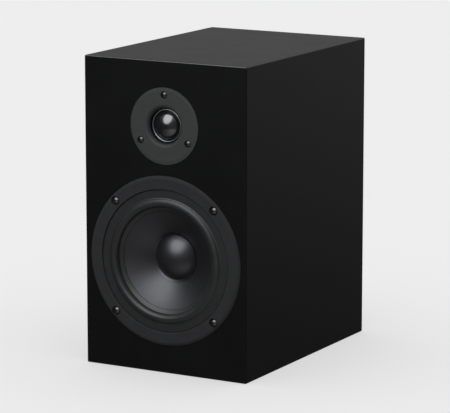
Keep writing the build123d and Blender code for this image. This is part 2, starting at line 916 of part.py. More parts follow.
def terminal_plate():
    """Plate with a boss behind it that carries the two posts."""
    body = rounded_plate(plate_width, plate_height, plate_corner, gasket_face, plate_outer)
    body = chamfer(body.faces().sort_by(Axis.Z)[-1].edges(), 0.6)
    body += rounded_plate(plate_boss_width, plate_boss_height, plate_corner, boss_back, gasket_face)
    body = cut_at(body, plate_screw_places, disc(plate_screw["shank"] + slip, 0, 2 * plate_outer))
    return cut_at(body, post_places.values(), disc(post_tail_radius + slip, boss_back, 2 * plate_outer))


def terminal_gasket():
    body = rounded_plate(plate_width - 1, plate_height - 1, plate_corner, 0, gasket_face)
    hole_width, hole_height = plate_boss_width + 2 * slip, plate_boss_height + 2 * slip
    body -= rounded_plate(hole_width, hole_height, plate_corner, 0, gasket_face)
    return cut_at(body, plate_screw_places, disc(plate_screw["shank"] + slip, 0, gasket_face))


def terminal_screws():
    return several(plate_screw_places, button_screw(plate_screw, plate_outer))


def post_collar():
    """Insulating shoulder that keeps the post off the plate."""
    body = ring(post_tail_radius + slip, post_collar_radius, plate_outer, collar_face)
    return chamfer(body.edges().filter_by(GeomType.CIRCLE).sort_by(Axis.Z)[-1], 0.5)


def binding_post():
    """Brass post: threaded outside, bored for a banana plug, cross-drilled for bare wire."""
    body = disc(post_shoulder_radius, collar_face, shoulder_face)
    body += disc(post_root_radius, shoulder_face, post_end)
    thread_low = shoulder_face + wire_hole_rise + wire_hole_radius + 0.5
    turns = int((post_end - thread_low) / post_pitch)
    crest = 0.4 * post_pitch
    for i in range(turns):
        low = thread_low + post_pitch * i
        body += turned(
            (post_root_radius - 0.2, low),
            (post_root_radius, low),
            (post_radius, low + (post_pitch - crest) / 2),
            (post_radius, low + (post_pitch + crest) / 2),
            (post_root_radius, low + post_pitch),
            (post_root_radius - 0.2, low + post_pitch),
        )
    body += disc(post_radius, shoulder_face, thread_low)
    body += disc(post_tail_radius, nut_back - post_tail_spare, collar_face)
    body -= disc(banana_bore_radius, post_end - banana_bore_depth, post_end)
    hole = Rot(90, 0, 0) * Cylinder(wire_hole_radius, 3 * post_radius)
    return body - Pos(0, 0, shoulder_face + wire_hole_rise) * hole


def clamp_washer():
    return ring(post_radius + knob_gap, washer_radius, shoulder_face, knob_low)


def post_knob():
    """Fluted knob that runs on the post's thread; its end is open for the banana plug."""
    body = disc(knob_radius, knob_low, knob_high)
    body = chamfer(body.edges().filter_by(GeomType.CIRCLE), 0.7)
    flute = disc(knob_flute_radius, knob_low + 2.5, knob_high - 2.5)
    body = cut_at(body, around(knob_radius + 0.5 * knob_flute_radius, knob_flutes, 0), flute)
    body -= disc(post_radius + knob_gap, knob_low, knob_high - knob_end_thickness)
    body -= disc(knob_end_hole_radius, knob_low, knob_high)
    mouth_top = shoulder_face + wire_hole_rise + wire_hole_radius + knob_mouth_margin
    return body - disc(knob_mouth_radius, knob_low, mouth_top)


def post_nuts():
    shape = extrude(RegularPolygon(nut_across / 2, 6, major_radius=False), nut_thickness)
    nut = Pos(0, 0, nut_back) * shape - disc(post_tail_radius + thread_gap, nut_back, lug_back)
    return several(post_places.values(), nut)


def solder_lugs():
    """Flat tags under the nuts, with their tails pointing down."""
    tag = disc(4.4, lug_back, boss_back)
    tag += block((-1.8, 1.8), (-lug_length, 0), (lug_back, boss_back))
    return several(post_places.values(), tag - disc(post_tail_radius + thread_gap, lug_back, boss_back))


# ---- Crossover, in the cabinet's frame ----
crossover_centre_y = inside_back_y - crossover_back_gap - crossover_depth / 2
board_low = panel_thickness + standoff_height
board_top = board_low + crossover_thickness
board_corners = [
    Pos(
        x * (crossover_width / 2 - standoff_inset),
        crossover_centre_y + y * (crossover_depth / 2 - standoff_inset),
        0,
    )
    for x in (-1, 1)
    for y in (-1, 1)
]


def crossover_board():
    body = Pos(0, crossover_centre_y, board_low) * Box(
        crossover_width, crossover_depth, crossover_thickness, align=ON_BASE
    )
    return cut_at(body, board_corners, disc(crossover_screw["shank"] + slip, board_low, board_top))


def standoffs():
    return several(
        board_corners, ring(crossover_screw["shank"] + slip, standoff_radius, panel_thickness, board_low)
    )


def crossover_screws():
    return several(board_corners, button_screw(crossover_screw, board_top))


def wound_coil(outer, inner, height):
    """Copper winding on a bobbin, as two solids about Z from 0 up."""
    flange = 1.5
    bobbin = ring(inner - 2, inner, 0, height)
    bobbin += ring(inner - 2, outer + 1, 0, flange)
    bobbin += ring(inner - 2, outer + 1, height - flange, height)
    copper = ring(inner + 0.1, outer, flange + 0.1, height - flange - 0.1)
    return group(bobbin, copper)


def woofer_inductor():
    return Pos(-30, crossover_centre_y + 12, board_top) * wound_coil(17, 9, 20)


def tweeter_inductor():
    """Stands on edge, at right angles to the larger coil."""
    outer, height = 11, 14
    place = Pos(36, crossover_centre_y + 24, board_top + outer + 1 + rest_gap) * Rot(90, 0, 0)
    return place * Pos(0, 0, -height / 2) * wound_coil(outer, 6, height)


def capacitor(radius, length):
    """Film capacitor lying along X."""
    body = Rot(0, 90, 0) * Cylinder(radius, length)
    return Pos(0, 0, radius + rest_gap) * fillet(body.edges(), 1.0)


def film_capacitors():
    row_y = crossover_centre_y
    return group(
        Pos(10, row_y - 14, board_top) * capacitor(7.5, 34),
        Pos(12, row_y - 30, board_top) * capacitor(6.5, 30),
        Pos(-32, row_y - 22, board_top) * capacitor(6, 28),
    )


def ceramic_resistors():
    body = Pos(0, 0, board_top) * Box(10, 22, 9, align=ON_BASE)
    body = fillet(body.edges().filter_by(Axis.Z), 1.0)
    return several([Pos(x, crossover_centre_y + 6, 0) for x in (4, 18)], body)


tag_x = {"input": (-6.0, 6.0), "woofer": (-24.0, -12.0), "tweeter": (30.0, 42.0)}
tag_row_y = {
    "input": crossover_centre_y + crossover_depth / 2 - 3,
    "woofer": crossover_centre_y - crossover_depth / 2 + 3,
    "tweeter": crossover_centre_y - crossover_depth / 2 + 3,
}


def board_tags():
    """Brass tags on the board for the input, the woofer and the tweeter."""
    tags = []
    for name, xs in tag_x.items():
        y = tag_row_y[name]
        tags += [tab(x, y, board_top, board_top + tag_height) for x in xs]
    return group(*tags)


# ---- Internal wiring, in the cabinet's frame ----
tag_top = board_top + tag_height + solder_gap
woofer_tab_z = woofer_height + tab_y
woofer_tab_end_y = front_y - tab_back + solder_gap
tweeter_tab_end_y = front_y - tweeter_tab_back + solder_gap
brace_top = brace_height + brace_thickness / 2
run_z = brace_top + wire_radius + wire_gap
clip_y = (inside_front_y + clip_setback, inside_front_y + clip_setback + clip_pitch)
run_x = inside_width / 2 - brace_rim / 2 - wire_spacing / 2


def input_leads():
    """From the solder lugs down to the board."""
    lug_y = back_y + lug_back - wire_radius - 1
    lug_z = terminal_height - lug_length + 1
    leads = []
    for side in (-1, 1):
        x_lug, x_tag = side * post_spacing / 2, side * tag_x["input"][1]
        y_tag = tag_row_y["input"]
        points = [
            (x_lug, lug_y, lug_z),
            (x_lug, lug_y - 2, lug_z - 14),
            (0.5 * (x_lug + x_tag), lug_y - 6, lug_z - 27),
            (x_tag, y_tag + 1, tag_top + 10),
            (x_tag, y_tag, tag_top),
        ]
        leads.append(wire(points))
    return group(*leads)


def woofer_leads():
    """From the board forward to the woofer's tabs."""
    y_tag = tag_row_y["woofer"]
    leads = []
    for x_tab, x_tag in zip((-tab_x, tab_x), tag_x["woofer"]):
        points = [
            (x_tag, y_tag, tag_top),
            (x_tag, y_tag - 2, tag_top + 9),
            (0.8 * x_tag + 0.2 * x_tab, y_tag - 14, tag_top + 12),
            (0.4 * x_tag + 0.6 * x_tab, y_tag - 38, 0.5 * (tag_top + woofer_tab_z)),
            (x_tab, woofer_tab_end_y + 13, woofer_tab_z - 2),
            (x_tab, woofer_tab_end_y, woofer_tab_z),
        ]
        leads.append(wire(points))
    return group(*leads)


def tweeter_leads():
    """From the board up inside the right-hand wall, over the brace and forward to the tweeter."""
    y_tag = tag_row_y["tweeter"]
    y_rise = clip_y[1] + 31
    leads = []
    for i, (x_tag, x_tab) in enumerate(zip(tag_x["tweeter"], (-tweeter_tab_x, tweeter_tab_x))):
        x_run = run_x + wire_spacing * i
        x_rise = inside_width / 2 - brace_rim - rise_margin - rise_spread * wire_spacing * (1 - i)
        points = [
            (x_tag, y_tag, tag_top),
            (x_tag + 3, y_tag + 1, tag_top + 14),
            (x_rise, y_rise + 4, tag_top + 40),
            (x_rise, y_rise + 6, 0.5 * (tag_top + run_z)),
            (x_rise, y_rise + 4, run_z - 38),
            (x_rise - 1, y_rise, run_z + 8),
            (x_run, clip_y[1] + 15, run_z),
            (x_run, clip_y[0] - 15, run_z),
            (x_run - 12, clip_y[0] - 25, run_z + 10),
            (0.5 * (x_run + x_tab), tweeter_tab_end_y + 24, tweeter_height - 17),
            (x_tab, tweeter_tab_end_y + 12, tweeter_height - 2),
            (x_tab, tweeter_tab_end_y, tweeter_height),
        ]
        leads.append(wire(points))
    return group(*leads)


def cable_clips():
    """Saddles on top of the brace that hold the tweeter's two leads down."""
    half = wire_spacing / 2 + wire_radius + wire_gap
    high = run_z + wire_radius + wire_gap
    foot = half + clip_foot
    saddle = block((-foot, foot), (-clip_width / 2, clip_width / 2), (brace_top, high + clip_wall))
    saddle -= block((-half, half), (-clip_width / 2, clip_width / 2), (brace_top, high))
    return several([Pos(run_x + wire_spacing / 2, y, 0) for y in clip_y], saddle)


def all_pieces():
    """Every piece by its node name, in the cabinet's frame."""
    pieces = wrap_panels()
    board_pilot = pilot(crossover_screw, board_top)
    pieces["bottom_panel"] = cut_at(pieces["bottom_panel"], board_corners, board_pilot)
    pieces["front_baffle"] = front_baffle()
    pieces["back_panel"] = back_panel()
    pieces["window_brace"] = window_brace()
    pieces["damping_felts"] = damping_felts()

    tweeter = {
        "tweeter_faceplate": tweeter_faceplate(),
        "tweeter_gasket": tweeter_gasket(),
        "tweeter_trim_ring": tweeter_trim_ring(),
        "tweeter_dome": tweeter_dome(),
        "tweeter_suspension": tweeter_suspension(),
        "tweeter_coil_former": tweeter_coil_former(),
        "tweeter_voice_coil": tweeter_voice_coil(),
        "tweeter_pole_plate": tweeter_pole_plate(),
        "tweeter_magnet": tweeter_magnet(),
        "tweeter_yoke": tweeter_yoke(),
        "tweeter_terminals": tweeter_terminals(),
        "tweeter_screws": tweeter_screws(),
    }
    woofer = {
        "woofer_basket": woofer_basket(),
        "woofer_gasket": woofer_gasket(),
        "woofer_surround": woofer_surround(),
        "woofer_cone": woofer_cone(),
        "woofer_dust_cap": woofer_dust_cap(),
        "woofer_coil_former": woofer_coil_former(),
        "woofer_voice_coil": woofer_voice_coil(),
        "woofer_spider": woofer_spider(),
        "woofer_top_plate": woofer_top_plate(),
        "woofer_magnet": woofer_magnet(),
        "woofer_yoke": woofer_yoke(),
        "woofer_terminals": woofer_terminals(),
        "woofer_tinsel_leads": woofer_tinsel_leads(),
        "woofer_screws": woofer_screws(),
    }
    terminal = {
        "terminal_plate": terminal_plate(),
        "terminal_gasket": terminal_gasket(),
        "terminal_screws": terminal_screws(),
        "post_nuts": post_nuts(),
        "solder_lugs": solder_lugs(),
    }
    for colour, place in post_places.items():
        terminal[f"{colour}_post_collar"] = place * post_collar()
        terminal[f"{colour}_binding_post"] = place * binding_post()
        terminal[f"{colour}_clamp_washer"] = place * clamp_washer()
        terminal[f"{colour}_knob"] = place * post_knob()
    units = [
        (on_front(tweeter_height), tweeter),
        (on_front(woofer_height), woofer),
        (on_back(terminal_height), terminal),
    ]
    for place, unit in units:
        for name, shape in unit.items():
            pieces[name] = place * shape
    pieces["port_tube"] = on_back(port_height) * port_tube()

    pieces["crossover_board"] = crossover_board()
    pieces["crossover_standoffs"] = standoffs()
    pieces["crossover_screws"] = crossover_screws()
    pieces["woofer_inductor"] = woofer_inductor()
    pieces["tweeter_inductor"] = tweeter_inductor()
    pieces["film_capacitors"] = film_capacitors()
    pieces["ceramic_resistors"] = ceramic_resistors()
    pieces["board_tags"] = board_tags()
    pieces["input_leads"] = input_leads()
    pieces["woofer_leads"] = woofer_leads()
    pieces["tweeter_leads"] = tweeter_leads()
    pieces["cable_clips"] = cable_clips()
    return pieces


os.makedirs("parts", exist_ok=True)
for name, shape in all_pieces().items():
    export_step(shape, f"parts/{name}.step")
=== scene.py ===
import math

import bmesh
import bpy
import numpy as np
from bpy.props import FloatProperty, FloatVectorProperty, IntProperty, PointerProperty
from mathutils import Matrix, Vector, noise


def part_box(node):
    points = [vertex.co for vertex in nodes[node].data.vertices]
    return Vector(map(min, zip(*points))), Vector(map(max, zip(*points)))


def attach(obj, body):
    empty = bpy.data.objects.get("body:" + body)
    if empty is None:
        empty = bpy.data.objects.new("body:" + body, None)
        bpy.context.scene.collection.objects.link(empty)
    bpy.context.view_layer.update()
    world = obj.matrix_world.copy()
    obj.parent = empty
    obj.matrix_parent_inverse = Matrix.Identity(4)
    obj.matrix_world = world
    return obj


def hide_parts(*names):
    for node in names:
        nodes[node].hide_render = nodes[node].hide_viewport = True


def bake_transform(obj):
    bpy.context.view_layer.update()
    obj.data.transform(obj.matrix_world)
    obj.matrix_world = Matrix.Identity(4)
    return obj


# Looks for a two-way bookshelf speaker: finishes for the packed pieces, meshes for its soft and wound
# parts, and a stage. Metres, +Z up, the front faces -Y, as in the packed model.

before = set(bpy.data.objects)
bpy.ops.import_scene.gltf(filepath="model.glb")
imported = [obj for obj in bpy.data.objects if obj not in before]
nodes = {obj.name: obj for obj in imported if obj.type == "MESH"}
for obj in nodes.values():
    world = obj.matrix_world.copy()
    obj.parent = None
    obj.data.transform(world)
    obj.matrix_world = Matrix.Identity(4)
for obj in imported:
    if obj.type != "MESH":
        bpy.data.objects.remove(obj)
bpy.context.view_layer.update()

bl_info = {
    "name": "Bookshelf Speaker Looks",
    "version": (1, 0, 0),
    "blender": (4, 5, 0),
    "location": "View3D > Sidebar > Speaker",
    "description": "Finishes, soft parts and a studio stage for a bookshelf speaker",
    "category": "Object",
}

MM = 0.001
UP = Vector((0, 0, 1))


# ---- Places read from the frame ----
def centre_of(node):
    low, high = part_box(node)
    return (low + high) / 2


def radius_of(node):
    low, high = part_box(node)
    return (high.z - low.z) / 2


def front_of(node):
    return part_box(node)[0].y


def back_of(node):
    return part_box(node)[1].y


cabinet_low, cabinet_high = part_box("front_baffle")
cabinet_high = Vector((cabinet_high.x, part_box("back_panel")[1].y, cabinet_high.z))
woofer_axis = centre_of("woofer_cone")
tweeter_axis = centre_of("tweeter_dome")
port_axis = centre_of("port_tube")


# ---- Settings ----
def colour(name, description, value):
    """A colour that a user may change."""
    return FloatVectorProperty(
        name=name, description=description, subtype="COLOR", size=3, min=0.0, max=1.0, default=value
    )


def share(name, description, value):
    """A setting from 0 to 1."""
    return FloatProperty(
        name=name, description=description, subtype="FACTOR", min=0.0, max=1.0, default=value
    )


def size(name, description, millimetres):
    """A length, given in millimetres and kept in metres."""
    return FloatProperty(
        name=name, description=description, unit="LENGTH", min=0.0, precision=5, default=millimetres * MM
    )


def span(name, description, metres):
    """A length or an offset of the stage, in metres."""
    return FloatProperty(name=name, description=description, unit="LENGTH", default=metres)


def turn(name, description, degrees):
    return FloatProperty(
        name=name, description=description, subtype="ANGLE", default=math.radians(degrees)
    )


def bright(name, description, value):
    return FloatProperty(name=name, description=description, min=0.0, default=value)


def count(name, description, value):
    return IntProperty(name=name, description=description, min=1, default=value)


class StageSettings(bpy.types.PropertyGroup):
    """Camera, floor and lights"""

    azimuth: turn("Azimuth", "Camera's turn to the right of the front", 29.36)
    elevation: turn("Elevation", "Camera's height above level", 10.95)
    distance: span("Distance", "From the camera to its aim", 2.457)
    aim_right: span("Aim right", "Aim to the right of the cabinet's middle", -0.0028)
    aim_up: span("Aim up", "Aim above the cabinet's middle", -0.0083)
    lens: FloatProperty(name="Lens", description="Focal length", unit="CAMERA", default=214.3)
    floor_colour: colour("Floor", "Surface of the floor", (0.34, 0.34, 0.34))
    floor_glow: share("Floor glow", "How much the floor is lit from below", 0.495)
    floor_reach: span("Floor reach", "From the speaker to the floor's edge", 40.0)
    zenith: bright("Zenith", "Soft light from straight above, fading to none at level", 2.1)
    backdrop: bright("Backdrop", "What glossy faces see of the backdrop behind, to the left", 0.355)
    backdrop_right: bright("Backdrop, right", "The same, to the right", 0.60)
    ceiling: bright("Ceiling", "What glossy faces see straight above", 0.40)
    gloom: bright("Gloom", "What glossy faces see in front, near level", 0.03)
    table: bright("Table", "What glossy faces see of the table in front, to the right", 0.44)
    fill: bright("Fill", "What glossy faces see of a dim panel in front, to the right", 0.10)
    paper: bright("Paper", "What the camera sees beyond the floor's edge", 0.84)
    key_azimuth: turn("Key azimuth", "Key light's turn to the right of the front", -9.0)
    key_elevation: turn("Key elevation", "Key light's height above level", 43.0)
    key_distance: span("Key distance", "From the key light to the speaker", 1.9)
    key_width: span("Key width", "Of the round softbox", 1.9)
    key_height: span("Key height", "Of the round softbox", 2.4)
    key_power: FloatProperty(
        name="Key power", description="Power of the round softbox", unit="POWER", default=44.0
    )
    key_colour: colour("Key colour", "Of the round softbox", (0.95, 0.98, 1.0))


class CabinetSettings(bpy.types.PropertyGroup):
    """Cabinet, felt and port"""

    lacquer: colour("Lacquer", "Satin lacquer on the outside", (0.0032, 0.0032, 0.0033))
    lacquer_roughness: share("Lacquer roughness", "How matt the lacquer is", 0.35)
    lacquer_depth: size("Lacquer reach", "How far the lacquer goes into cut edges", 2.5)
    edge_ease: size("Eased edge", "Rounding of the cabinet's level edges under the lacquer", 0.7)
    edge_sheen: colour("Edge sheen", "How much of the light the eased edges mirror", (0.09, 0.09, 0.09))
    board: colour("Board", "Raw fibreboard inside", (0.30, 0.205, 0.115))
    felt: colour("Felt", "Damping felt", (0.17, 0.17, 0.175))
    felt_crown: size("Felt crown", "How far the felt's edge falls below its middle", 1.6)
    felt_fuzz: size("Felt fuzz", "Unevenness of the felt's face", 0.5)
    port: colour("Port", "Moulded port tube", (0.012, 0.012, 0.013))
    foam: colour("Foam", "Foam gaskets", (0.022, 0.022, 0.023))


class WooferSettings(bpy.types.PropertyGroup):
    """Woofer"""

    basket: colour("Basket", "Satin paint on the basket and its flange", (0.0165, 0.0165, 0.0172))
    cone: colour("Cone", "Moulded cone", (0.0025, 0.0026, 0.0028))
    cap: colour("Dust cap", "Moulded dust cap", (0.0045, 0.0045, 0.0047))
    cap_crown: size("Crown of the cap", "Radius of the dust cap's face", 27.0)
    rubber: colour("Rubber", "Surround", (0.0100, 0.0101, 0.0106))
    cloth: colour("Cloth", "Spider", (0.38, 0.24, 0.09))
    ferrite: colour("Ferrite", "Magnet", (0.035, 0.034, 0.034))
    surround_wall: size("Surround wall", "Thickness of the rubber", 0.8)
    roll_width: size("Roll width", "Of the surround's half roll", 7.8)
    roll_rise: size("Roll rise", "Top of the roll above its landing", 2.3)
    landing_width: size("Landing width", "Of the flat outside the roll, with its gap", 7.7)
    lip_width: size("Lip width", "Of the strip glued on the cone", 3.8)
    lip_edge: size("Lip edge", "Thickness that the lip tapers to", 0.08)
    glue_line: size("Glue line", "Between the lip and the cone", 0.12)
    cone_slope: turn("Cone slope", "Of the land that the lip is glued on", 22.0)
    spider_waves: count("Spider waves", "Corrugations, counted as half waves", 5)
    spider_wave_height: size("Spider wave height", "From trough to crest", 1.6)
    spider_wall: size("Spider wall", "Thickness of the cloth", 0.4)
    spider_seat: size("Spider seat", "Width of the flat glued in the basket", 4.5)
    lead_radius: size("Lead radius", "Of one tinsel lead", 0.6)
    lead_pitch: size("Lead pitch", "Length of one turn of its strands", 3.5)


class TweeterSettings(bpy.types.PropertyGroup):
    """Tweeter"""

    plate: colour("Faceplate", "Matt paint on the faceplate", (0.0205, 0.0225, 0.0215))
    # Painted shade: this near-black colour is painted on the faceplate inside the throat's radius, for the
    # shadow round the trim ring.
    throat_shade: colour("Throat", "Bare moulding round the trim ring", (0.0030, 0.0030, 0.0036))
    throat_radius: size("Throat radius", "Of the straight hole round the trim ring", 15.95)
    dome: colour("Dome", "Coated dome", (0.0035, 0.0035, 0.0048))
    dome_crown: size("Crown of the dome", "Radius of the dome's face", 15.1)
    suspension: colour("Suspension", "Coated cloth round the dome", (0.0040, 0.0040, 0.0048))
    suspension_wall: size("Suspension wall", "Thickness of the coated cloth", 0.25)
    suspension_roll: size("Suspension roll", "Width of the small half roll", 1.13)
    landing_thickness: size("Landing thickness", "Of the flat outside the roll", 0.4)
    glue_line: size("Glue line", "Between the roll and the dome", 0.12)


class HardwareSettings(bpy.types.PropertyGroup):
    """Metals and plastics"""

    screw: colour("Screw", "Black nickel on the tweeter's screws", (0.085, 0.083, 0.080))
    bright_screw: colour("Bright screw", "Nickel on the woofer's screws", (0.125, 0.12, 0.115))
    black_screw: colour("Black screw", "Blackened steel screws", (0.05, 0.05, 0.05))
    zinc: colour("Zinc", "Zinc-plated steel", (0.52, 0.51, 0.49))
    steel: colour("Steel", "Plated magnet parts", (0.47, 0.46, 0.42))
    trim: colour("Trim", "Bright ring round the dome", (0.40, 0.40, 0.41))
    gold: colour("Gold", "Gold plate on the posts", (0.83, 0.58, 0.22))
    brass: colour("Brass", "Tinned brass tabs", (0.62, 0.58, 0.50))
    copper: colour("Copper", "Enamelled copper wire", (0.60, 0.22, 0.07))
    red: colour("Red", "Red knob and collar", (0.42, 0.012, 0.010))
    black: colour("Black", "Black knob and collar", (0.012, 0.012, 0.013))
    plate: colour("Terminal plate", "Moulded terminal plate", (0.014, 0.014, 0.015))
    nylon: colour("Nylon", "Spacers and clips", (0.72, 0.70, 0.64))
    board: colour("Circuit board", "Fibre board of the crossover", (0.035, 0.11, 0.045))
    film: colour("Capacitor", "Capacitor sleeves", (0.62, 0.40, 0.035))
    cement: colour("Cement", "Resistor bodies", (0.62, 0.60, 0.55))
    insulation: colour("Insulation", "Sleeve of the leads", (0.020, 0.020, 0.022))
    foil: colour("Foil", "Coil formers", (0.62, 0.62, 0.63))
    fibre: colour("Fibre strip", "Strip that carries a driver's tabs", (0.16, 0.075, 0.030))
    tab_width: size("Tab width", "Of a solder tab", 3.2)
    tab_wall: size("Tab thickness", "Of a solder tab", 0.8)
    woofer_tab_x: size("Woofer tabs", "From the woofer's axis to each tab", 6.0)
    tweeter_tab_x: size("Tweeter tabs", "From the tweeter's axis to each tab", 7.0)
    large_bore: size("Large bobbin bore", "Radius of the woofer inductor's hole", 7.0)
    small_bore: size("Small bobbin bore", "Radius of the tweeter inductor's hole", 4.0)
    bobbin_neck: size("Bobbin neck", "Wall of a bobbin", 2.0)
    bobbin_flange: size("Bobbin flange", "Thickness of a bobbin's flanges", 1.5)
    bobbin_rim: size("Bobbin rim", "From the winding to the flange's edge", 1.0)
    coil_wire: size("Coil wire", "Thickness of the inductors' wire", 1.1)


# ---- Node graphs ----
NUMBER = "NodeSocketFloat"
TINT = "NodeSocketColor"
ARROW = "NodeSocketVector"


class Graph:
    """Short calls that add nodes to a tree and link them."""

    def __init__(self, tree):
        self.tree = tree

    def put(self, kind, inputs=None, **settings):
        """Adds a node. An input is a socket to link, or a value."""
        node = self.tree.nodes.new(kind)
        for key, value in settings.items():
            setattr(node, key, value)
        for key, value in (inputs or {}).items():
            self.feed(node.inputs[key], value)
        return node

    def feed(self, socket, value):
        if isinstance(value, bpy.types.NodeSocket):
            self.tree.links.new(value, socket)
        elif socket.type == "RGBA" and len(value) == 3:
            socket.default_value = (*value, 1.0)
        else:
            socket.default_value = value

    def sum(self, operation, *values, clamp=False):
        """One step of arithmetic."""
        inputs = dict(enumerate(values))
        return self.put("ShaderNodeMath", inputs, operation=operation, use_clamp=clamp).outputs[0]

    def of_three(self, operation, values):
        return self.sum(operation, self.sum(operation, values[0], values[1]), values[2])

    def vector(self, operation, *values, output=0):
        inputs = dict(enumerate(values))
        return self.put("ShaderNodeVectorMath", inputs, operation=operation).outputs[output]

    def scaled(self, vector, factor):
        node = self.put("ShaderNodeVectorMath", {0: vector, "Scale": factor}, operation="SCALE")
        return node.outputs[0]

    def spread(self, value, low, high, to_low=0.0, to_high=1.0):
        """Stretches a range onto another, held at its ends."""
        inputs = {"Value": value, "From Min": low, "From Max": high, "To Min": to_low, "To Max": to_high}
        return self.put("ShaderNodeMapRange", inputs).outputs[0]

    def cloud(self, vector, scale, detail=3.0, roughness=0.55):
        """Soft random pattern, about 0 to 1."""
        inputs = {"Vector": vector, "Scale": scale, "Detail": detail, "Roughness": roughness}
        return self.put("ShaderNodeTexNoise", inputs).outputs[0]

    def blend(self, factor, first, second):
        node = self.put("ShaderNodeMix", data_type="RGBA")
        self.feed(node.inputs[0], factor)
        self.feed(node.inputs[6], first)
        self.feed(node.inputs[7], second)
        return node.outputs[2]

    def turned_normal(self, factor, first, second):
        """Goes from the first normal to the second."""
        mixed = self.put("ShaderNodeMix", data_type="VECTOR")
        self.feed(mixed.inputs[0], factor)
        self.feed(mixed.inputs[4], first)
        self.feed(mixed.inputs[5], second)
        return self.vector("NORMALIZE", mixed.outputs[1])

    def position(self):
        return self.put("ShaderNodeTexCoord").outputs["Object"]

    def away_from(self, centre):
        """From an axis along Y out to the surface, square to the axis."""
        return self.vector("MULTIPLY", self.vector("SUBTRACT", self.position(), centre), (1.0, 0.0, 1.0))

    def facing(self):
        return self.put("ShaderNodeNewGeometry").outputs["Normal"]

    def parts(self, vector):
        return self.put("ShaderNodeSeparateXYZ", {0: vector}).outputs


class Effect(Graph):
    """A shader node group under construction. Inputs are (socket kind, default) by name."""

    def __init__(self, name, inputs, outputs):
        group = bpy.data.node_groups.new(name, "ShaderNodeTree")
        for socket, (kind, value) in inputs.items():
            made = group.interface.new_socket(socket, in_out="INPUT", socket_type=kind)
            made.default_value = (*value, 1.0) if kind == TINT else value
        for socket, kind in outputs.items():
            group.interface.new_socket(socket, in_out="OUTPUT", socket_type=kind)
        super().__init__(group)
        self.given = self.put("NodeGroupInput").outputs
        self.result = self.put("NodeGroupOutput").inputs

    def give(self, name, socket):
        self.tree.links.new(socket, self.result[name])


def make_mottle():
    """Uneven tone, as paint, moulding and board have."""
    fx = Effect(
        "Mottle",
        {"Colour": (TINT, (1.0, 1.0, 1.0)), "Amount": (NUMBER, 0.1), "Scale": (NUMBER, 40.0)},
        {"Colour": TINT, "Mask": NUMBER},
    )
    cloud = fx.spread(fx.cloud(fx.position(), fx.given["Scale"], 4.0), 0.3, 0.7)
    low = fx.sum("SUBTRACT", 1.0, fx.given["Amount"])
    high = fx.sum("ADD", 1.0, fx.given["Amount"])
    fx.give("Colour", fx.scaled(fx.given["Colour"], fx.spread(cloud, 0.0, 1.0, low, high)))
    fx.give("Mask", cloud)
    return fx.tree


def make_grain():
    """Fine pebble of paint or of a moulded face: a height in metres and a share for roughness."""
    fx = Effect(
        "Fine Grain",
        {"Depth": (NUMBER, 0.00001), "Scale": (NUMBER, 2500.0)},
        {"Height": NUMBER, "Mask": NUMBER},
    )
    cloud = fx.cloud(fx.position(), fx.given["Scale"], 2.0)
    fx.give("Height", fx.sum("MULTIPLY", cloud, fx.given["Depth"]))
    fx.give("Mask", fx.spread(cloud, 0.3, 0.7))
    return fx.tree


def make_edges():
    """Mask that is 1 on sharp edges, where a finish thins from wear and where a lighter tint paints a
    highlight, and the normal that eases them.
    """
    fx = Effect(
        "Edge Wear",
        {"Radius": (NUMBER, 0.0005), "Scale": (NUMBER, 300.0)},
        {"Mask": NUMBER, "Normal": ARROW},
    )
    soft = fx.put("ShaderNodeBevel", {"Radius": fx.given["Radius"]}, samples=4).outputs[0]
    bend = fx.sum("SUBTRACT", 1.0, fx.vector("DOT_PRODUCT", soft, fx.facing(), output=1))
    patch = fx.spread(fx.cloud(fx.position(), fx.given["Scale"], 3.0), 0.35, 0.65, 0.4, 1.0)
    fx.give("Mask", fx.sum("MULTIPLY", fx.spread(bend, 0.02, 0.2), patch, clamp=True))
    fx.give("Normal", soft)
    return fx.tree


def make_dust():
    """Mask of the fine dust that settles on faces that look up."""
    fx = Effect("Settled Dust", {"Amount": (NUMBER, 0.1), "Scale": (NUMBER, 900.0)}, {"Mask": NUMBER})
    level = fx.spread(fx.parts(fx.facing())[2], 0.3, 1.0)
    specks = fx.spread(fx.cloud(fx.position(), fx.given["Scale"], 5.0, 0.7), 0.45, 0.8)
    fx.give("Mask", fx.of_three("MULTIPLY", (level, specks, fx.given["Amount"])))
    return fx.tree


def make_rings():
    """Fine rings round an axis along Y, as turning, moulding and pressing leave."""
    fx = Effect(
        "Turned Rings",
        {"Centre": (ARROW, (0.0, 0.0, 0.0)), "Pitch": (NUMBER, 0.0005), "Depth": (NUMBER, 0.00001)},
        {"Height": NUMBER, "Radius": NUMBER},
    )
    radius = fx.vector("LENGTH", fx.away_from(fx.given["Centre"]), output=1)
    turns = fx.sum("DIVIDE", radius, fx.given["Pitch"])
    wave = fx.sum("SINE", fx.sum("MULTIPLY", turns, math.tau))
    fx.give("Height", fx.sum("MULTIPLY", wave, fx.given["Depth"]))
    fx.give("Radius", radius)
    return fx.tree


def make_crown():
    """Normal that is a true sphere's close to an axis along Y, where a dome's narrow faces meet."""
    fx = Effect(
        "True Crown",
        {"Centre": (ARROW, (0.0, 0.0, 0.0)), "Crown": (NUMBER, 0.03), "Reach": (NUMBER, 0.0015)},
        {"Normal": ARROW},
    )
    flat = fx.facing()
    away = fx.away_from(fx.given["Centre"])
    ahead = fx.vector("MULTIPLY", (0.0, -1.0, 0.0), fx.given["Crown"])
    sphere = fx.vector("NORMALIZE", fx.vector("ADD", away, ahead))
    share_out = fx.sum("DIVIDE", fx.vector("LENGTH", away, output=1), fx.given["Reach"])
    outside = fx.spread(fx.parts(flat)[1], -0.2, -0.5)
    top = fx.sum("MULTIPLY", fx.spread(share_out, 0.8, 1.0, 1.0, 0.0), outside)
    fx.give("Normal", fx.turned_normal(top, flat, sphere))
    return fx.tree


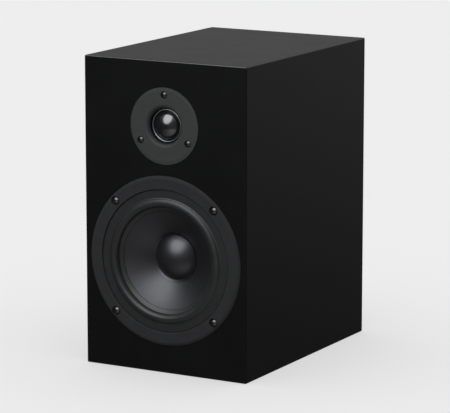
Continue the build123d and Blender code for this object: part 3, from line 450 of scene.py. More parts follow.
def make_threads():
    """Fine parallel threads along one direction, as wound wire and brushed metal show."""
    fx = Effect(
        "Threads",
        {"Direction": (ARROW, (0.0, 1.0, 0.0)), "Pitch": (NUMBER, 0.0004), "Depth": (NUMBER, 0.00005)},
        {"Height": NUMBER, "Mask": NUMBER},
    )
    along = fx.vector("DOT_PRODUCT", fx.position(), fx.given["Direction"], output=1)
    turns = fx.sum("DIVIDE", along, fx.given["Pitch"])
    wave = fx.sum("ABSOLUTE", fx.sum("SINE", fx.sum("MULTIPLY", turns, math.pi)))
    fx.give("Height", fx.sum("MULTIPLY", wave, fx.given["Depth"]))
    fx.give("Mask", wave)
    return fx.tree


def make_weave():
    """Plain weave in the XZ plane: a height in metres, and a mask that falls to 0 between its threads."""
    fx = Effect(
        "Weave",
        {"Pitch": (NUMBER, 0.0006), "Depth": (NUMBER, 0.00008)},
        {"Height": NUMBER, "Mask": NUMBER},
    )
    axes = fx.parts(fx.position())
    phases = [fx.sum("MULTIPLY", fx.sum("DIVIDE", axes[i], fx.given["Pitch"]), math.pi) for i in (0, 2)]
    warp, weft = (fx.sum("ABSOLUTE", fx.sum("SINE", phase)) for phase in phases)
    over = fx.sum("MULTIPLY", *(fx.sum("SIGN", fx.sum("SINE", phase)) for phase in phases))
    high = fx.sum("MULTIPLY", warp, fx.spread(over, -1.0, 1.0, 0.5, 1.0))
    low = fx.sum("MULTIPLY", weft, fx.spread(over, -1.0, 1.0, 1.0, 0.5))
    thread = fx.sum("MAXIMUM", high, low)
    fx.give("Height", fx.sum("MULTIPLY", thread, fx.given["Depth"]))
    fx.give("Mask", thread)
    return fx.tree


def make_fibres():
    """Tangled fibres of felt and of raw board."""
    fx = Effect(
        "Fibres",
        {"Scale": (NUMBER, 500.0), "Depth": (NUMBER, 0.0001)},
        {"Height": NUMBER, "Mask": NUMBER},
    )
    place = fx.scaled(fx.position(), fx.given["Scale"])
    layers = []
    for stretch in ((0.2, 1.0, 1.0), (1.0, 0.2, 1.0), (1.0, 1.0, 0.2)):
        layers.append(fx.cloud(fx.vector("MULTIPLY", place, stretch), 1.0, 3.0, 0.7))
    mixed = fx.of_three("MAXIMUM", layers)
    fx.give("Height", fx.sum("MULTIPLY", mixed, fx.given["Depth"]))
    fx.give("Mask", fx.spread(mixed, 0.45, 0.8))
    return fx.tree


EFFECTS = {
    "mottle": make_mottle,
    "grain": make_grain,
    "edges": make_edges,
    "dust": make_dust,
    "rings": make_rings,
    "crown": make_crown,
    "threads": make_threads,
    "weave": make_weave,
    "fibres": make_fibres,
}
effects = {}


def effect(name):
    """The shader node group with that effect, built the first time."""
    if name not in effects:
        effects[name] = EFFECTS[name]()
    return effects[name]


class Finish(Graph):
    """A material under construction. Effects stack up on its colour, roughness, height, normal and metal."""

    DUST = (0.30, 0.29, 0.27)
    SOCKETS = {
        "specular": "Specular IOR Level",
        "coat": "Coat Weight",
        "coat_roughness": "Coat Roughness",
        "sheen": "Sheen Weight",
        "sheen_roughness": "Sheen Roughness",
        "ior": "IOR",
        "metallic": "Metallic",
        "glow": "Emission Strength",
        "tint": "Specular Tint",
    }

    def __init__(self, name, colour, roughness, **fixed):
        self.material = bpy.data.materials.new(name)
        self.material.use_nodes = True
        super().__init__(self.material.node_tree)
        self.shader = self.tree.nodes["Principled BSDF"]
        for key, value in fixed.items():
            self.shader.inputs[self.SOCKETS[key]].default_value = value
        self.colour = tuple(colour)
        self.roughness = roughness
        self.height = None
        self.normal = None
        self.metal = None

    def use(self, name, **inputs):
        node = self.put("ShaderNodeGroup", node_tree=effect(name))
        for key, value in inputs.items():
            self.feed(node.inputs[key], value)
        return node.outputs

    def raise_by(self, height):
        self.height = height if self.height is None else self.sum("ADD", self.height, height)

    def mottle(self, amount, scale, rough=0.0):
        made = self.use("mottle", Colour=self.colour, Amount=amount, Scale=scale)
        self.colour = made["Colour"]
        if rough:
            self.roughen(made["Mask"], rough)
        return self

    def roughen(self, mask, amount):
        """Adds up to that much roughness where the mask is 1."""
        self.roughness = self.sum("ADD", self.roughness, self.sum("MULTIPLY", mask, amount), clamp=True)

    def tint(self, mask, colour):
        self.colour = self.blend(mask, self.colour, colour)

    def grain(self, depth, scale, rough=0.05):
        made = self.use("grain", Depth=depth, Scale=scale)
        self.raise_by(made["Height"])
        self.roughen(made["Mask"], rough)
        return self

    def edges(self, colour, radius):
        # Lighter edges: partly wear where the finish thins, partly a painted highlight.
        self.tint(self.use("edges", Radius=radius)["Mask"], colour)
        return self

    def dust(self, amount):
        mask = self.use("dust", Amount=amount)["Mask"]
        self.tint(mask, self.DUST)
        self.roughen(mask, 0.3)
        return self

    def rings(self, centre, pitch, depth):
        self.raise_by(self.use("rings", Centre=tuple(centre), Pitch=pitch, Depth=depth)["Height"])
        return self

    def crown(self, centre, radius):
        self.normal = self.use("crown", Centre=tuple(centre), Crown=radius)["Normal"]
        return self

    def threads(self, direction, pitch, depth, painted_gap_shade=None):
        made = self.use("threads", Direction=direction, Pitch=pitch, Depth=depth)
        self.raise_by(made["Height"])
        # Painted shade: a darker colour between the threads.
        if painted_gap_shade:
            self.tint(self.sum("SUBTRACT", 1.0, made["Mask"]), painted_gap_shade)
        return self

    def weave(self, pitch, depth, painted_gap_shade):
        made = self.use("weave", Pitch=pitch, Depth=depth)
        self.raise_by(made["Height"])
        # Painted shade: a darker colour between the threads of the weave.
        self.tint(self.spread(made["Mask"], 0.5, 0.1), painted_gap_shade)
        return self

    def fibres(self, scale, depth, fibre_colour):
        made = self.use("fibres", Scale=scale, Depth=depth)
        self.raise_by(made["Height"])
        self.tint(made["Mask"], fibre_colour)
        return self

    def done(self):
        """Links what was stacked up to the shader."""
        self.feed(self.shader.inputs["Base Color"], self.colour)
        self.feed(self.shader.inputs["Roughness"], self.roughness)
        if self.metal is not None:
            self.feed(self.shader.inputs["Metallic"], self.metal)
        if self.height is not None:
            bump = self.put("ShaderNodeBump", {"Height": self.height, "Distance": 1.0, "Strength": 1.0})
            if self.normal is not None:
                self.feed(bump.inputs["Normal"], self.normal)
            self.feed(self.shader.inputs["Normal"], bump.outputs[0])
        return self.material


def lighter(colour, factor):
    return tuple(min(1.0, channel * factor) for channel in colour)


def plated(name, tone, roughness, uneven, scale, rough, wear_and_sheen_factor):
    """Metal with a finish that is a little uneven, and lighter on its edges: partly thin from wear, partly a
    painted highlight.
    """
    made = Finish(name, tone, roughness, metallic=1.0)
    made.mottle(uneven, scale, rough=rough).edges(lighter(tone, wear_and_sheen_factor), 0.0002)
    return made.done()


def dress(material, *names):
    """Gives packed nodes their finish."""
    for name in names:
        for slot in nodes[name].material_slots:
            slot.material = material


# ---- Meshes ----
def mesh_object(name, mesh_builder, material, slot_name):
    """A new piece from a bmesh, shaded smooth, with its finish. The slot name is not used."""
    mesh = bpy.data.meshes.new(name)
    mesh_builder.to_mesh(mesh)
    mesh_builder.free()
    mesh.shade_smooth()
    piece = bpy.data.objects.new(name, mesh)
    bpy.context.scene.collection.objects.link(piece)
    mesh.materials.append(material)
    return piece


def turned(profile, axis, segments):
    """Closed surface of revolution about a driver's axis. The profile is a loop of (radius, y) points."""
    build = bmesh.new()
    loops = []
    for i in range(segments):
        angle = math.tau * i / segments
        across, up = math.cos(angle), math.sin(angle)
        loops.append([build.verts.new((axis.x + r * across, y, axis.z + r * up)) for r, y in profile])
    total = len(profile)
    for i, loop in enumerate(loops):
        after = loops[(i + 1) % segments]
        for j in range(total):
            build.faces.new((loop[j], loop[(j + 1) % total], after[(j + 1) % total], after[j]))
    bmesh.ops.recalc_face_normals(build, faces=build.faces)
    return build


def skin(line):
    """Closed loop round a sheet's front line of (radius, y, thickness) points: the line and its back."""
    back = []
    for i, (radius, y, wall) in enumerate(line):
        before, after = line[max(i - 1, 0)], line[min(i + 1, len(line) - 1)]
        along = Vector((after[0] - before[0], after[1] - before[1])).normalized()
        back.append((radius + along.y * wall, y - along.x * wall))
    return [(radius, y) for radius, y, _ in line] + back[::-1]


def arch(middle, half, foot, rise, wall, angles):
    """Points over a roll that stands forward of its foot; its angles go from 0, outside, to half a turn."""
    return [(middle + half * math.cos(angle), foot - rise * math.sin(angle), wall) for angle in angles]


def blend_by_radius(piece, outer, inner):
    """Bakes the piece's place into its mesh; the two radii are not used."""
    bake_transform(piece)


def steps(start, end, number):
    """Evenly spaced values, both ends included."""
    return [start + (end - start) * i / number for i in range(number + 1)]


# ---- Stage ----
def look_from(place, aim):
    return (Vector(aim) - Vector(place)).to_track_quat("-Z", "Y").to_euler()


def around_front(azimuth, elevation):
    """Unit vector from the speaker towards a place; azimuth 0 is straight in front."""
    level = math.cos(elevation)
    return Vector((math.sin(azimuth) * level, -math.cos(azimuth) * level, math.sin(elevation)))


def round_softbox(name, place, aim, width, height, power, colour):
    light = bpy.data.lights.new(name, "AREA")
    light.color = colour
    light.shape = "ELLIPSE"
    light.size = width
    light.size_y = height
    light.energy = power
    lamp = bpy.data.objects.new(name, light)
    lamp.location = place
    lamp.rotation_euler = look_from(place, aim)
    bpy.context.scene.collection.objects.link(lamp)
    return lamp


def leave_out(lamp, piece):
    """The lamp lights everything but that piece."""
    group = bpy.data.collections.new(lamp.name + "_leaves_out")
    group.objects.link(piece)
    lamp.light_linking.receiver_collection = group
    group.collection_objects[0].light_linking.link_state = "EXCLUDE"


def make_camera(stage, middle):
    data = bpy.data.cameras.new("camera")
    data.lens = stage.lens
    data.clip_end = 200.0
    camera = bpy.data.objects.new("camera", data)
    right = Vector((math.cos(stage.azimuth), math.sin(stage.azimuth), 0))
    aim = middle + right * stage.aim_right + UP * stage.aim_up
    camera.location = aim + around_front(stage.azimuth, stage.elevation) * stage.distance
    camera.rotation_euler = look_from(camera.location, aim)
    bpy.context.scene.collection.objects.link(camera)
    bpy.context.scene.camera = camera


def make_floor(stage):
    """A plain pale floor, lit a little from below, which glossy faces don't mirror."""
    build = bmesh.new()
    bmesh.ops.create_grid(build, x_segments=8, y_segments=8, size=stage.floor_reach)
    mesh = bpy.data.meshes.new("floor")
    build.to_mesh(mesh)
    build.free()
    floor = bpy.data.objects.new("floor", mesh)
    floor.visible_glossy = False
    bpy.context.scene.collection.objects.link(floor)
    paint = Finish("floor_paint", stage.floor_colour, 0.9, specular=0.0, glow=stage.floor_glow)
    paint.mottle(0.004, 0.6)
    mesh.materials.append(paint.done())
    return floor


# Where each part of the mirrored room begins and is full, along x, y or z of a unit direction
BACKDROP_BEHIND = (0.15, 0.40)
BACKDROP_ACROSS = (-0.3, 0.4)
BACKDROP_ABOVE = (-0.21, -0.11)
TABLE_BELOW = (-0.38, -0.52)
TABLE_ACROSS = (-0.75, 0.30)
PANEL_ACROSS = (0.0, 0.25)
PANEL_AHEAD = (-0.35, -0.60)
CEILING_ABOVE = (0.3, 1.0)


def make_room(stage):
    """Soft light from above. Glossy faces see a backdrop behind, and a table and a dim panel in front."""
    world = bpy.data.worlds.new("room")
    world.use_nodes = True
    room = Graph(world.node_tree)
    way = room.parts(room.put("ShaderNodeTexCoord").outputs["Generated"])
    side, depth, height = way[0], way[1], way[2]
    rise = room.spread(height, 0.0, 1.0)
    sky = room.sum("MULTIPLY", room.sum("MULTIPLY", rise, rise), stage.zenith)
    low = room.sum("MULTIPLY", room.spread(height, *TABLE_BELOW), room.spread(side, *TABLE_ACROSS))
    table = room.spread(low, 0.0, 1.0, stage.gloom, stage.table)
    panel = room.sum("MULTIPLY", room.spread(side, *PANEL_ACROSS), room.spread(depth, *PANEL_AHEAD))
    near = room.sum("ADD", table, room.sum("MULTIPLY", panel, stage.fill))
    front = room.sum("ADD", near, room.spread(height, *CEILING_ABOVE, 0.0, stage.ceiling))
    wall = room.spread(side, *BACKDROP_ACROSS, stage.backdrop, stage.backdrop_right)
    backdrop = room.sum("MULTIPLY", room.spread(height, *BACKDROP_ABOVE), wall)
    mirrored = room.spread(room.spread(depth, *BACKDROP_BEHIND), 0.0, 1.0, front, backdrop)
    ray = room.put("ShaderNodeLightPath").outputs
    bounced = room.spread(ray["Is Glossy Ray"], 0.0, 1.0, sky, mirrored)
    background = world.node_tree.nodes["Background"]
    seen = room.spread(ray["Is Camera Ray"], 0.0, 1.0, bounced, stage.paper)
    room.feed(background.inputs["Strength"], seen)
    room.feed(background.inputs["Color"], (1.0, 1.0, 1.0))
    bpy.context.scene.world = world


class SPEAKER_OT_stage(bpy.types.Operator):
    """Makes the camera, the floor and the soft lights"""

    bl_idname = "speaker.stage"
    bl_label = "Stage"

    def execute(self, context):
        stage = context.scene.speaker_stage
        middle = (cabinet_low + cabinet_high) / 2
        make_camera(stage, middle)
        floor = make_floor(stage)
        make_room(stage)
        towards_key = around_front(stage.key_azimuth, stage.key_elevation)
        place = middle + towards_key * stage.key_distance
        key = round_softbox(
            "key_softbox", place, middle, stage.key_width, stage.key_height, stage.key_power, stage.key_colour
        )
        leave_out(key, floor)
        context.scene.view_settings.view_transform = "Standard"
        return {"FINISHED"}


# ---- Cabinet ----
EASE_FADE = 1.2  # how far in an edge's easing has faded out, as a share of its radius


def lacquered_board(cabinet):
    """Black satin lacquer, eased along the level edges, over fibreboard that is raw where it ends."""
    made = Finish("cabinet_lacquer", cabinet.lacquer, cabinet.lacquer_roughness, specular=0.15)
    made.mottle(0.10, 25.0, rough=0.03)
    made.grain(0.000004, 900.0, rough=0.03)
    made.dust(0.02)
    middle = (cabinet_low + cabinet_high) / 2
    half = (cabinet_high - cabinet_low) / 2
    offset = made.vector("ABSOLUTE", made.vector("SUBTRACT", made.position(), tuple(middle)))
    depth = made.parts(made.vector("SUBTRACT", tuple(half), offset))
    nearest, furthest, total = (made.of_three(what, depth) for what in ("MINIMUM", "MAXIMUM", "ADD"))
    second = made.sum("SUBTRACT", made.sum("SUBTRACT", total, nearest), furthest)
    ease = cabinet.edge_ease
    # Two depths are small beside an edge, and the height's is one of them beside a level edge
    edge, level = (made.spread(x, ease, EASE_FADE * ease, 1.0, 0.0) for x in (second, depth[2]))
    eased = made.sum("MULTIPLY", edge, level)
    made.tint(eased, tuple(cabinet.edge_sheen))
    made.metal = eased
    made.normal = made.turned_normal(eased, made.facing(), made.use("edges", Radius=ease)["Normal"])
    reach = cabinet.lacquer_depth
    bare = made.spread(nearest, 0.9 * reach, 1.1 * reach)
    fibre = made.use("fibres", Scale=700.0, Depth=0.00005)
    board = made.blend(fibre["Mask"], tuple(cabinet.board), lighter(cabinet.board, 1.35))
    made.colour = made.blend(bare, made.colour, board)
    made.roughen(bare, 0.5)
    return made.done()


def raw_board(cabinet):
    made = Finish("raw_board", cabinet.board, 0.85, specular=0.2)
    made.mottle(0.08, 60.0)
    made.fibres(700.0, 0.00006, lighter(cabinet.board, 1.35))
    return made.done()


class SPEAKER_OT_cabinet(bpy.types.Operator):
    """Finishes the cabinet's panels and the brace"""

    bl_idname = "speaker.cabinet"
    bl_label = "Cabinet"

    def execute(self, context):
        cabinet = context.scene.speaker_cabinet
        panels = ("left_side_panel", "right_side_panel", "top_panel", "bottom_panel")
        dress(lacquered_board(cabinet), "front_baffle", "back_panel", *panels)
        dress(raw_board(cabinet), "window_brace")
        return {"FINISHED"}


def felt_pad(low, high, wall_axis, wall_side, cabinet):
    """Needled felt on a wall: a flat back, a crowned uneven face and rounded edges."""
    others = [axis for axis in range(3) if axis != wall_axis]
    thickness = high[wall_axis] - low[wall_axis]
    spacing = 4 * MM
    counts = [max(8, round((high[a] - low[a]) / spacing)) for a in others]
    build = bmesh.new()

    def point(i, j, top):
        """Grid point on the face or on the back."""
        place = Vector((0, 0, 0))
        room = 1.0
        for axis, number, index in zip(others, counts, (i, j)):
            length = high[axis] - low[axis]
            place[axis] = low[axis] + length * index / number
            room = min(room, min(index, number - index) * length / number / (3 * spacing))
        fall = cabinet.felt_crown * (1 - min(1.0, room)) ** 2
        rough = cabinet.felt_fuzz * (noise.noise(place * 90) - 1) / 2
        inner = thickness - fall + rough if top else 0.0
        place[wall_axis] = low[wall_axis] + inner if wall_side < 0 else high[wall_axis] - inner
        return place

    faces = {}
    for top in (True, False):
        for i in range(counts[0] + 1):
            for j in range(counts[1] + 1):
                faces[top, i, j] = build.verts.new(point(i, j, top))
    for i in range(counts[0]):
        for j in range(counts[1]):
            for top in (True, False):
                corners = ((i, j), (i + 1, j), (i + 1, j + 1), (i, j + 1))
                build.faces.new([faces[top, a, b] for a, b in corners])
    rim = [(i, 0) for i in range(counts[0])]
    rim += [(counts[0], j) for j in range(counts[1])]
    rim += [(i, counts[1]) for i in range(counts[0], 0, -1)]
    rim += [(0, j) for j in range(counts[1], 0, -1)]
    for here, there in zip(rim, rim[1:] + rim[:1]):
        build.faces.new(
            (faces[(True, *here)], faces[(True, *there)], faces[(False, *there)], faces[(False, *here)])
        )
    bmesh.ops.recalc_face_normals(build, faces=build.faces)
    return build


class SPEAKER_OT_felts(bpy.types.Operator):
    """Makes the damping felts on the cabinet's inner walls"""

    bl_idname = "speaker.felts"
    bl_label = "Damping felts"

    def execute(self, context):
        cabinet = context.scene.speaker_cabinet
        felt = Finish("felt", cabinet.felt, 0.95, specular=0.1, sheen=0.4, sheen_roughness=0.6)
        felt.mottle(0.12, 80.0)
        felt.fibres(1200.0, 0.0003, lighter(cabinet.felt, 1.6))
        material = felt.done()
        for number, (low, high) in enumerate(loose_boxes("damping_felts")):
            width = high - low
            wall_axis = min(range(3), key=lambda axis: width[axis])
            side = 1 if (low + high)[wall_axis] > 0 or wall_axis == 2 else -1
            build = felt_pad(low, high, wall_axis, side, cabinet)
            pad = mesh_object(f"felt_pad_{number + 1}", build, material, "felt")
            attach(pad, "cabinet")
            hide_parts("damping_felts")
        return {"FINISHED"}


def loose_boxes(node):
    """Corners of each separate solid in a packed node, in a fixed order."""
    build = bmesh.new()
    build.from_mesh(nodes[node].data)
    bmesh.ops.remove_doubles(build, verts=build.verts, dist=0.01 * MM)
    left = set(build.verts)
    boxes = []
    while left:
        seed = min(left, key=lambda v: v.index)
        found, edge = {seed}, [seed]
        while edge:
            vertex = edge.pop()
            for link in vertex.link_edges:
                other = link.other_vert(vertex)
                if other not in found:
                    found.add(other)
                    edge.append(other)
        left -= found
        corners = [[v.co[axis] for v in found] for axis in range(3)]
        boxes.append((Vector([min(c) for c in corners]), Vector([max(c) for c in corners])))
    build.free()
    return sorted(boxes, key=lambda pair: tuple(round(x, 4) for x in pair[0]))


# ---- Woofer ----
COOL = (0.95, 0.935, 1.0, 1.0)  # tint of what the moulded cone and cap mirror
RIM_BAND = 0.06 * MM


def basket_paint(woofer):
    made = Finish("basket_black", woofer.basket, 0.62, specular=0.06)
    made.mottle(0.08, 120.0).grain(0.000010, 2200.0, rough=0.06)
    # Lighter edges: partly wear, partly a painted highlight.
    made.edges(lighter(woofer.basket, 1.3), 0.0004).dust(0.01)
    return made.done()


def moulded_cone(woofer):
    made = Finish("cone_grey", woofer.cone, 0.43, specular=0.80, tint=COOL)
    made.mottle(0.06, 90.0, rough=0.02).grain(0.000003, 3000.0, rough=0.03)
    made.rings(woofer_axis, 0.0013, 0.0000005).dust(0.01)
    return made.done()


def moulded_cap(woofer):
    made = Finish("cap_grey", woofer.cap, 0.36, specular=0.87, tint=COOL)
    made.mottle(0.06, 120.0, rough=0.02).grain(0.000003, 3200.0, rough=0.03).dust(0.01)
    made.crown(woofer_axis, woofer.cap_crown)
    return made.done()


def sintered_ferrite(woofer):
    made = Finish("ferrite", woofer.ferrite, 0.55, specular=0.4)
    made.mottle(0.25, 300.0).grain(0.00003, 1500.0, rough=0.1)
    return made.done()


def plated_steel(hardware):
    made = Finish("plated_steel", hardware.steel, 0.34, metallic=1.0)
    made.mottle(0.10, 150.0, rough=0.08).grain(0.000004, 2600.0, rough=0.05)
    # Lighter edges: partly wear, partly a painted highlight.
    made.rings(woofer_axis, 0.0004, 0.000002).edges(lighter(hardware.steel, 1.3), 0.0004)
    return made.done()


class SPEAKER_OT_woofer(bpy.types.Operator):
    """Finishes the woofer's basket, cone, cap and magnet"""

    bl_idname = "speaker.woofer"
    bl_label = "Woofer"

    def execute(self, context):
        woofer = context.scene.speaker_woofer
        dress(basket_paint(woofer), "woofer_basket")
        dress(moulded_cone(woofer), "woofer_cone")
        dress(moulded_cap(woofer), "woofer_dust_cap")
        dress(sintered_ferrite(woofer), "woofer_magnet")
        steel = plated_steel(context.scene.speaker_hardware)
        dress(steel, "woofer_top_plate", "woofer_yoke", "tweeter_yoke", "tweeter_pole_plate")
        return {"FINISHED"}


def surround_line(woofer):
    """Front of the surround from its rim in to its lip, with its thickness, and both feet of the roll."""
    front = front_of("woofer_surround")
    rim = radius_of("woofer_surround")
    landing = front + woofer.roll_rise
    outer = rim - woofer.landing_width
    inner = outer - woofer.roll_width
    middle, half = (outer + inner) / 2, woofer.roll_width / 2
    slope = math.tan(woofer.cone_slope)
    wall = woofer.surround_wall
    lip_end = inner - woofer.lip_width

    def cone_face(radius):
        return front_of("woofer_cone") + (radius_of("woofer_cone") - radius) * slope

    # A second ring close to the rim keeps the landing's shading flat up to its edge
    line = [(r, landing, wall) for r in [rim] + steps(rim - RIM_BAND, outer + 0.5 * MM, 8)]
    outside = steps(0.08 * math.pi, 0.5 * math.pi, 14)
    line += arch(middle, half, landing, woofer.roll_rise, wall, outside)
    lip = cone_face(inner) - woofer.glue_line - wall
    inside = steps(0.5 * math.pi, 0.97 * math.pi, 16)[1:]
    line += arch(middle, half, lip, lip - front, wall, inside)
    for share_in in steps(0.1, 1.0, 9):
        r = inner + (lip_end - inner) * share_in
        thin = wall + (woofer.lip_edge - wall) * share_in**2
        gap = woofer.glue_line * (1 - 0.8 * share_in)
        line.append((r, cone_face(r) - gap - thin, thin))
    return line, outer, inner


class SPEAKER_OT_surround(bpy.types.Operator):
    """Makes the woofer's rubber surround, which rolls between the basket and the cone"""

    bl_idname = "speaker.surround"
    bl_label = "Surround"

    def execute(self, context):
        woofer = context.scene.speaker_woofer
        made = Finish("surround_rubber", woofer.rubber, 0.40, specular=0.45)
        made.mottle(0.07, 140.0, rough=0.03).grain(0.000006, 3500.0, rough=0.04).dust(0.015)
        line, outer, inner = surround_line(woofer)
        build = turned(skin(line), woofer_axis, 192)
        piece = mesh_object("surround_roll", build, made.done(), "surround_rubber")
        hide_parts("woofer_surround")
        blend_by_radius(piece, outer, inner)
        return {"FINISHED"}


WAVE_STEPS = 12  # points along one half wave of the spider


class SPEAKER_OT_spider(bpy.types.Operator):
    """Makes the corrugated cloth that centres the woofer's coil"""

    bl_idname = "speaker.spider"
    bl_label = "Spider"

    def execute(self, context):
        woofer = context.scene.speaker_woofer
        made = Finish("spider_cloth", woofer.cloth, 0.8, specular=0.2, sheen=0.2)
        made.mottle(0.10, 100.0).weave(0.0007, 0.00010, lighter(woofer.cloth, 0.35))
        wall = woofer.spider_wall
        rim = radius_of("woofer_spider")
        neck = radius_of("woofer_coil_former") + woofer.glue_line
        seat = rim - woofer.spider_seat
        front = centre_of("woofer_spider").y - wall / 2
        line = [(r, front, wall) for r in steps(rim, seat, 5)]
        for i, r in enumerate(steps(seat, neck + 1.5 * MM, WAVE_STEPS * woofer.spider_waves)):
            wave = woofer.spider_wave_height / 2 * math.sin(math.pi * i / WAVE_STEPS)
            line.append((r - 0.01 * MM, front + wave, wall))
        line += [(r, front, wall) for r in steps(neck + 1.2 * MM, neck, 3)]
        piece = mesh_object("spider_disc", turned(skin(line), woofer_axis, 144), made.done(), "spider_cloth")
        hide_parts("woofer_spider")
        blend_by_radius(piece, seat, neck + 1.0 * MM)
        return {"FINISHED"}


def smooth_path(route):
    """Evenly read points on one smooth curve along a route."""
    data = bpy.data.curves.new("route", "CURVE")
    data.dimensions = "3D"
    spline = data.splines.new("NURBS")
    spline.points.add(len(route) - 1)
    for point, place in zip(spline.points, route):
        point.co = (*place, 1.0)
    spline.order_u = 3
    spline.use_endpoint_u = True
    spline.resolution_u = 16
    carrier = bpy.data.objects.new("route", data)
    mesh = bpy.data.meshes.new_from_object(carrier)
    points = [v.co.copy() for v in mesh.vertices]
    bpy.data.objects.remove(carrier)
    bpy.data.curves.remove(data)
    bpy.data.meshes.remove(mesh)
    return points


def walk(points):
    """Each point with two directions across the path, which don't twist as they go along it."""
    normal = (points[1] - points[0]).orthogonal().normalized()
    for i, point in enumerate(points):
        along = (points[min(i + 1, len(points) - 1)] - points[max(i - 1, 0)]).normalized()
        normal = (normal - along * normal.dot(along)).normalized()
        yield point, normal, along.cross(normal)


def around(place, radius, turned_by):
    """A point beside a path, at a share of a turn round it."""
    point, normal, across = place
    angle = math.tau * turned_by
    return point + (normal * math.cos(angle) + across * math.sin(angle)) * radius


def add_tube(build, points, radius, sides):
    """A closed round tube along the points."""
    loops = []
    for place in walk(points):
        loops.append([build.verts.new(around(place, radius, k / sides)) for k in range(sides)])
    for first, second in zip(loops, loops[1:]):
        for k in range(sides):
            after = (k + 1) % sides
            build.faces.new((first[k], first[after], second[after], second[k]))
    build.faces.new(loops[0][::-1])
    build.faces.new(loops[-1])


def braided_lead(route, radius, strands, pitch):
    """Strands laid round each other along the route."""
    points = smooth_path(route)
    strand = radius * 0.46
    lay = radius - strand
    build = bmesh.new()
    for number in range(strands):
        travelled = 0.0
        before = points[0]
        line = []
        for place in walk(points):
            travelled += (place[0] - before).length
            before = place[0]
            line.append(around(place, lay, travelled / pitch + number / strands))
        add_tube(build, line, strand, 8)
    return build


def lead_route(side, radius):
    """From a tab up and forward in a bow to the back of the cone."""
    low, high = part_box("woofer_tinsel_leads")
    x = side * (high.x - radius)
    tab = Vector((x, high.y, low.z + radius * 0.8))
    cone = Vector((x, low.y + radius, high.z - radius * 0.8))
    bow = [Vector((0, -5.4, 4.0)), Vector((0, -7.2, 8.0)), Vector((0, -7.4, 13.0))]
    return [tab] + [tab + place * MM for place in bow] + [cone + Vector((0, 5.0, -4.0)) * MM, cone]


class SPEAKER_OT_tinsel_leads(bpy.types.Operator):
    """Makes the two braided leads that hang between the woofer's tabs and its cone"""

    bl_idname = "speaker.tinsel_leads"
    bl_label = "Tinsel leads"

    def execute(self, context):
        woofer = context.scene.speaker_woofer
        made = Finish("braid_copper", context.scene.speaker_hardware.copper, 0.38, metallic=1.0)
        made.mottle(0.15, 900.0, rough=0.1)
        made.threads((0.0, 0.7, 0.7), 0.0003, 0.00003)
        material = made.done()
        low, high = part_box("woofer_tinsel_leads")
        middle = (low + high) / 2
        for number, side in enumerate((-1, 1)):
            route = lead_route(side, woofer.lead_radius)
            build = braided_lead(route, woofer.lead_radius, 3, woofer.lead_pitch)
            piece = mesh_object(f"tinsel_lead_{number + 1}", build, material, "braid")
            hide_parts("woofer_tinsel_leads")
            start, end = (Vector((0, middle.y, z)) for z in (low.z + 1.0 * MM, high.z - 1.0 * MM))
            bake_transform(piece)
            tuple(start)
            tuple(end)
        return {"FINISHED"}


# ---- Tweeter ----
def faceplate_paint(tweeter):
    """Matt grey, with painted shade: near black inside the throat's radius, for the shadow round the trim
    ring.
    """
    made = Finish("tweeter_plate_grey", tweeter.plate, 0.60, specular=0.25)
    made.mottle(0.05, 150.0).grain(0.00001, 2600.0, rough=0.05)
    # Lighter edges: partly wear, partly a painted highlight.
    made.edges(lighter(tweeter.plate, 1.2), 0.0003).dust(0.01)
    radius = made.use("rings", Centre=tuple(tweeter_axis), Pitch=0.001, Depth=0.0)["Radius"]
    wall = tweeter.throat_radius
    # Painted shade: inside the throat's radius the faceplate is tinted near black for the shadow there.
    made.tint(made.spread(radius, wall + 0.05 * MM, wall + 0.15 * MM, 1.0, 0.0), tuple(tweeter.throat_shade))
    return made.done()


def coated_dome(tweeter):
    made = Finish("dome_gloss", tweeter.dome, 0.19, ior=2.0)
    made.mottle(0.10, 200.0, rough=0.02).grain(0.0000004, 2500.0, rough=0.02)
    made.crown(tweeter_axis, tweeter.dome_crown)
    return made.done()


def polished_ring(hardware):
    made = Finish("bright_trim", hardware.trim, 0.38, metallic=1.0)
    made.mottle(0.06, 300.0).rings(tweeter_axis, 0.00015, 0.000001)
    return made.done()


def nickel_plate(hardware):
    made = Finish("magnet_nickel", lighter(hardware.steel, 1.2), 0.2, metallic=1.0)
    made.mottle(0.08, 200.0, rough=0.05).grain(0.000002, 2500.0)
    return made.done()


class SPEAKER_OT_tweeter(bpy.types.Operator):
    """Finishes the tweeter's faceplate, dome, ring and magnet"""

    bl_idname = "speaker.tweeter"
    bl_label = "Tweeter"

    def execute(self, context):
        tweeter = context.scene.speaker_tweeter
        hardware = context.scene.speaker_hardware
        dress(faceplate_paint(tweeter), "tweeter_faceplate")
        dress(coated_dome(tweeter), "tweeter_dome")
        dress(polished_ring(hardware), "tweeter_trim_ring")
        dress(nickel_plate(hardware), "tweeter_magnet")
        return {"FINISHED"}


class SPEAKER_OT_suspension(bpy.types.Operator):
    """Makes the small coated roll round the tweeter's dome"""

    bl_idname = "speaker.suspension"
    bl_label = "Suspension"

    def execute(self, context):
        tweeter = context.scene.speaker_tweeter
        made = Finish("suspension_black", tweeter.suspension, 0.34, specular=0.3)
        made.mottle(0.08, 300.0).weave(0.0003, 0.000008, lighter(tweeter.suspension, 0.7))
        wall = tweeter.suspension_wall
        rim = radius_of("tweeter_suspension")
        inner = radius_of("tweeter_dome") + tweeter.glue_line
        outer = inner + tweeter.suspension_roll
        base = back_of("tweeter_suspension") - tweeter.landing_thickness
        middle, half = (inner + outer) / 2, tweeter.suspension_roll / 2
        line = [(r, base, wall) for r in steps(rim, outer + 0.1 * MM, 6)]
        line += arch(middle, half, base, half, wall, steps(0.06 * math.pi, 0.98 * math.pi, 18))
        build = turned(skin(line), tweeter_axis, 128)
        piece = mesh_object("suspension_roll", build, made.done(), "suspension_black")
        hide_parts("tweeter_suspension")
        blend_by_radius(piece, outer, inner)
        return {"FINISHED"}


